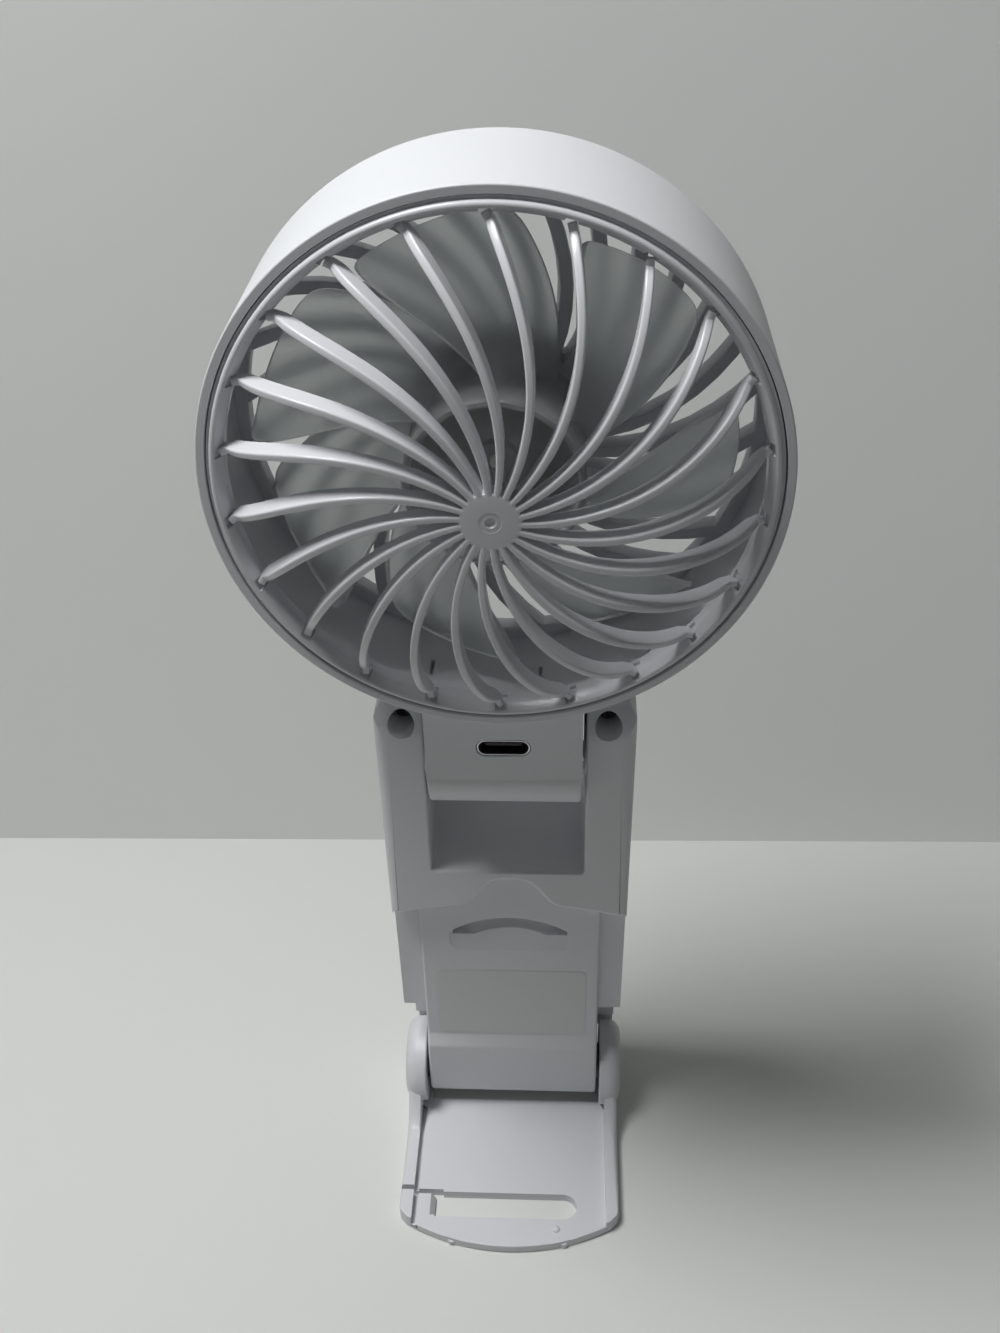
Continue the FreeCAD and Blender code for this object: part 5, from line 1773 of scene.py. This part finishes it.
@dataclass
class Stand:
    """Base plate whose rims rise into the hinge's ears."""

    half_width: float = 21.5
    reach: float = 38.6
    heel: float = 7.0
    thickness: float = 2.0
    tip_radius: float = 40.9
    tip_corner: float = 1.6
    rim_inner: float = 18.9
    rim_height: float = 3.3
    web_length: float = 14.0
    web_steps: int = 9
    web_sag: float = 1.5
    web_shoulder: float = 6.4
    web_top: float = 11.6
    web_round: float = 1.1
    ear_inner: float = 17.8
    ear_outer: float = 22.2
    ear_radius: float = 8.7
    ear_round: float = 2.8
    axis_height: float = STAND_AXIS
    pin_radius: float = 1.25
    pin_end: float = 21.0
    slot_left: float = -14.6
    slot_right: float = 13.3
    slot_front: float = -32.5
    slot_width: float = 5.4
    ramp_length: float = 0.9
    slit_width: float = 1.0
    slit_rear: float = -26.6
    slit_reach: float = -13.1
    nub_spread: float = 10.8
    nub_radius: float = 0.75
    nub_base: float = 0.2
    nub_top: float = 1.25
    pip_place: Point = (9.3, -34.6, 0)
    pip_radius: float = 0.8
    edge_round: float = 0.35
    gap_half_width: float = 17.0
    gap_front: float = -4.9
    gap_rear: float = 2.6
    groove_width: float = 0.9
    groove_depth: float = 0.8
    groove_front: float = -36.2
    groove_rear: float = -7.0

    @property
    def tip_centre(self) -> float:
        """Depth of the centre of the tip's arc."""
        return self.tip_radius - self.reach

    def _tip(self, across: float) -> float:
        """Depth of the front edge at a place to the side."""
        return self.tip_centre - math.sqrt(self.tip_radius ** 2 - across ** 2)

    def _plate(self) -> bpy.types.Object:
        """Floor with its rims, raised step by step towards the ears.

        Returns:
            The new piece.
        """
        wide = self.half_width
        count = 20
        corner = wide - self.tip_corner
        places = [corner * (1 - 2 * index / count) for index in range(count + 1)]
        drop = self._tip(wide)
        outline = [(wide, self.heel), (wide, drop + self.tip_corner), (wide - 0.4, drop + 0.35),
                   *[(across, self._tip(across)) for across in places],
                   (0.4 - wide, drop + 0.35), (-wide, drop + self.tip_corner), (-wide, self.heel)]
        plate = block("stand_plate", outline, Axis.Z, 0, self.thickness)
        span = self.web_length - self.web_shoulder
        stations = [-self.web_length + span * index / self.web_steps for index in range(self.web_steps + 1)]
        with editing(plate):
            for place in (-self.rim_inner, self.rim_inner):
                cut_plane((place, 0, 0), Axis.X)
            for place in [*stations, 0.0]:
                cut_plane((0, place, 0), Axis.Y)

            def on_rim(face: bmesh.types.BMFace) -> bool:
                """Whether a face is on top of a side strip, ahead of the hinge."""
                middle = face.calc_center_median()
                return middle.z > self.thickness - NEAR and abs(middle.x) > self.rim_inner and middle.y < 0
            choose(plate, "FACE", on_rim)
            push_out((0, 0, self.rim_height - self.thickness))
            for index, place in enumerate(stations[1:] + [0.0], start=1):
                share = min(index / self.web_steps, 1.0)
                rise = (self.web_top - self.rim_height) * share - self.web_sag * 4 * share * (1 - share)
                choose(plate, "VERT", lambda corner: corner.co.z > self.rim_height - NEAR
                       and abs(corner.co.y - place) < NEAR)
                move((0, 0, rise))

        def outer_top(edge: bmesh.types.BMEdge) -> bool:
            """Whether an edge runs along the outer top of a rim or a web."""
            return (all(abs(abs(corner.co.x) - wide) < NEAR and corner.co.z > self.rim_height - NEAR
                        for corner in edge.verts)
                    and abs(edge.verts[0].co.y - edge.verts[1].co.y) > NEAR)
        round_edges(plate, outer_top, self.web_round, 3)
        return plate

    def _ear(self, side: int) -> bpy.types.Object:
        """One round ear with a soft outer rim.

        Args:
            side: 1 for the right, -1 for the left.

        Returns:
            The new piece.
        """
        inner, outer, radius, soft = self.ear_inner, self.ear_outer, self.ear_radius, self.ear_round
        section = [(inner, 0), (inner, radius - 0.2), (inner + 0.2, radius)]
        section += arc((outer - soft, radius - soft), soft, 90, 0, 6)
        section += [(outer + 0.02, radius - soft - 1.2), (outer, 0)]
        return draw_turned("ear", [(side * along, out) for along, out in section], (0, 0, self.axis_height),
                           Axis.X, 96, closed=False)

    def _openings(self) -> list[bpy.types.Object]:
        """Tools for the strap slot, its ramp and slit, the barrel's gap, the groove and the pin's bore.

        Returns:
            The tools, in the order of cutting.
        """
        radius, top = self.slot_width / 2, self.thickness
        left, front, rear = self.slot_left, self.slot_front, self.slot_front + self.slot_width
        slot = [(left, front), *arc((self.slot_right - radius, front + radius), radius, -90, 90, 12),
                (left, rear)]
        start, end = left - self.ramp_length, left + 0.2
        ramp = [(start, top + 0.01), (end, 0.35), (end, top + 1), (start, top + 1)]
        groove = -self.rim_inner - 0.02
        bore = arc((0, self.axis_height), self.pin_radius, 7, 352, 23)
        return [
            block("strap_slot", slot, Axis.Z, -1, top + 1),
            block("ramp", ramp, Axis.Y, front + 0.3, rear - 0.3),
            box("slit", (-self.half_width - 1, self.slit_rear - self.slit_width, -1),
                (self.slit_reach, self.slit_rear, self.rim_height + 1)),
            box("barrel_gap", (-self.gap_half_width, self.gap_front, -1),
                (self.gap_half_width, self.gap_rear, top + 2)),
            box("groove", (groove, self.groove_front, top - self.groove_depth),
                (groove + self.groove_width, self.groove_rear, top + 0.5)),
            block("pin_bore", bore, Axis.X, -self.pin_end, self.pin_end)]

    def plate(self) -> bpy.types.Object:
        """Whole stand plate.

        Returns:
            The new piece.
        """
        piece = self._plate()
        for side in (1, -1):
            combine(piece, self._ear(side), "UNION")
        carve(piece, *self._openings())
        nub_depth = self._tip(self.nub_spread) + 0.4
        for side in (1, -1):
            nub = block("nub", arc((side * self.nub_spread, nub_depth), self.nub_radius, 0, 340, 17), Axis.Z,
                        self.nub_base, self.nub_top)
            combine(piece, nub, "UNION")
        tidy_faces(piece)
        left, right = self.slot_left - self.ramp_length - 0.3, self.slot_right + 0.3
        front, rear = self.slot_front - 0.3, self.slot_front + self.slot_width + 0.3
        slit_front, slit_rear = self.slit_rear - self.slit_width - 0.1, self.slit_rear + 0.1

        def is_plain(corner: bmesh.types.BMVert) -> bool:
            """Whether a corner lies away from the ears, the slot, the slit and the nubs.

            Args:
                corner: a corner of the plate.

            Returns:
                Whether its edges may be rounded.
            """
            across, depth, _ = corner.co
            in_slot = left < across < right and front < depth < rear
            in_slit = across < self.slit_reach + 0.5 and slit_front < depth < slit_rear
            at_nub = abs(abs(across) - self.nub_spread) <= 1.2
            return depth < -self.web_shoulder - 0.5 and not (in_slot or in_slit or at_nub)
        round_edges(piece, lambda edge: is_sharp(edge, 1.0) and all(map(is_plain, edge.verts)),
                    self.edge_round, 2)
        return piece

    def pip(self) -> bpy.types.Object:
        """Small round stud on the floor near the tip.

        Returns:
            The new piece.
        """
        top, wide = self.thickness, self.pip_radius
        return draw_turned("stand_pip", [(top - 0.2, 0), (top - 0.2, wide), (top + 0.12, wide - 0.05),
                                         (top + 0.35, wide - 0.3), (top + 0.42, 0)],
                           self.pip_place, Axis.Z, 24, closed=False)

    def build(self, materials: Materials) -> None:
        """Make and dress the stand."""
        whole = merge_pieces([self.plate(), self.pip()])
        hand_over(whole, "stand_plate", Body.STAND, materials, "white_plastic")


# stage

@dataclass(frozen=True)
class Paint:
    """Plain matt finish of the stage, which throws less on the object than the camera sees.

    The cast is the share of the colour that reaches the object, and the glow is extra
    brightness that only the camera sees.
    """

    name: str
    colour: tuple[float, float, float]
    cast: float
    glow: float
    one_sided: bool = False

    def build(self) -> bpy.types.Material:
        """Make the node material.

        Returns:
            The new material.
        """
        material = bpy.data.materials.new(self.name)
        material.use_nodes = True
        tree = material.node_tree
        node, link = tree.nodes.new, tree.links.new
        shader = tree.nodes["Principled BSDF"]
        shader.inputs["Roughness"].default_value = 0.8
        path = node("ShaderNodeLightPath")
        seen = node("ShaderNodeMath")
        seen.operation = "MAXIMUM"
        link(path.outputs["Is Camera Ray"], seen.inputs[0])
        link(path.outputs["Is Glossy Ray"], seen.inputs[1])
        through = node("ShaderNodeMath")
        through.operation = "MAXIMUM"
        link(seen.outputs[0], through.inputs[0])
        link(path.outputs["Is Transmission Ray"], through.inputs[1])
        tint = node("ShaderNodeMix")
        tint.data_type = "RGBA"
        tint.inputs["A"].default_value = (*(share * self.cast for share in self.colour), 1)
        tint.inputs["B"].default_value = (*self.colour, 1)
        link(through.outputs[0], tint.inputs["Factor"])
        link(tint.outputs["Result"], shader.inputs["Base Color"])
        shader.inputs["Emission Color"].default_value = (*self.colour, 1)
        shine = node("ShaderNodeMath")
        shine.operation = "MULTIPLY"
        shine.inputs[1].default_value = self.glow
        link(through.outputs[0], shine.inputs[0])
        link(shine.outputs[0], shader.inputs["Emission Strength"])
        if self.one_sided:
            side = node("ShaderNodeNewGeometry")
            clear = node("ShaderNodeBsdfTransparent")
            mix = node("ShaderNodeMixShader")
            link(side.outputs["Backfacing"], mix.inputs["Fac"])
            link(shader.outputs["BSDF"], mix.inputs[1])
            link(clear.outputs["BSDF"], mix.inputs[2])
            link(mix.outputs["Shader"], tree.nodes["Material Output"].inputs["Surface"])
        return material


@dataclass
class Studio:
    """Floor, wall, lamp and camera, whose turn is given in degrees about X, Y and Z."""

    lens: float = 50.4
    sensor: float = 36.0
    camera_place: tuple[float, float, float] = (10.34, -191.65, 248.04)
    camera_turn: tuple[float, float, float] = (54.4417, 1.1511, 2.5329)
    wall_left: Pair = (-136.74, 75.3)
    wall_right: Pair = (120.52, 79.54)
    reach: float = 2500.0
    floor_front: float = 260.0
    floor_paint: Paint = Paint("floor_paint", (0.79, 0.805, 0.78), 0.78, 0.02)
    wall_paint: Paint = Paint("wall_paint", (0.70, 0.725, 0.705), 0.42, 0.175, one_sided=True)
    lamp_direction: tuple[float, float, float] = (-0.31, -0.08, 0.95)
    lamp_distance: float = 0.63
    lamp_size: float = 0.2
    lamp_power: float = 2.35
    ambient: float = 0.078

    def camera(self) -> None:
        """Put the camera where the photograph was taken from."""
        data = bpy.data.cameras.new("camera")
        data.sensor_fit = "HORIZONTAL"
        data.sensor_width = self.sensor
        data.lens = self.lens
        data.clip_start = 0.005
        camera = bpy.data.objects.new("camera", data)
        angles = Euler([math.radians(angle) for angle in self.camera_turn])
        camera.matrix_world = Matrix.LocRotScale(Vector(self.camera_place) * MM, angles, None)
        bpy.context.collection.objects.link(camera)
        bpy.context.scene.camera = camera

    def lights(self) -> None:
        """One large soft lamp above to the left, and an even surround."""
        data = bpy.data.lights.new("key", "AREA")
        data.shape = "DISK"
        data.size = self.lamp_size
        data.energy = self.lamp_power
        lamp = bpy.data.objects.new("key", data)
        direction = Vector(self.lamp_direction).normalized()
        lamp.location = direction * self.lamp_distance
        lamp.rotation_mode = "QUATERNION"
        lamp.rotation_quaternion = direction.to_track_quat("Z", "Y")
        bpy.context.collection.objects.link(lamp)
        world = bpy.data.worlds.new("surround")
        bpy.context.scene.world = world
        world.use_nodes = True
        background = world.node_tree.nodes["Background"]
        background.inputs["Color"].default_value = (0.97, 1.0, 0.99, 1)
        background.inputs["Strength"].default_value = self.ambient
        bpy.context.scene.view_settings.view_transform = "Standard"

    def sweep(self) -> None:
        """Pale floor with a pale wall close behind."""
        size = 2 * self.reach * MM
        bpy.ops.mesh.primitive_plane_add(size=size, location=(0, (self.reach - self.floor_front) * MM, 0))
        floor = bpy.context.object
        floor.name = "floor"
        floor.data.materials.append(self.floor_paint.build())
        left, right = Vector(self.wall_left), Vector(self.wall_right)
        middle = (left + right) / 2
        lean = math.atan2(right.y - left.y, right.x - left.x)
        bpy.ops.mesh.primitive_plane_add(size=size, rotation=(math.pi / 2, 0, lean),
                                         location=(middle.x * MM, middle.y * MM, self.reach * MM))
        wall = bpy.context.object
        wall.name = "wall"
        wall.data.materials.append(self.wall_paint.build())


def main() -> None:
    """Build and report every piece in order."""
    logging.basicConfig(level=logging.INFO, format="%(message)s")
    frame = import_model()
    put_down()
    studio = Studio()
    studio.camera()
    studio.lights()
    studio.sweep()
    materials = Materials()
    materials.dress_nodes(frame)
    Head().build(materials)
    Rotor().build(materials)
    Neck().build(materials)
    Handle().build(materials)
    Button().build(materials)
    Stand().build(materials)


if __name__ == "__main__":
    main()
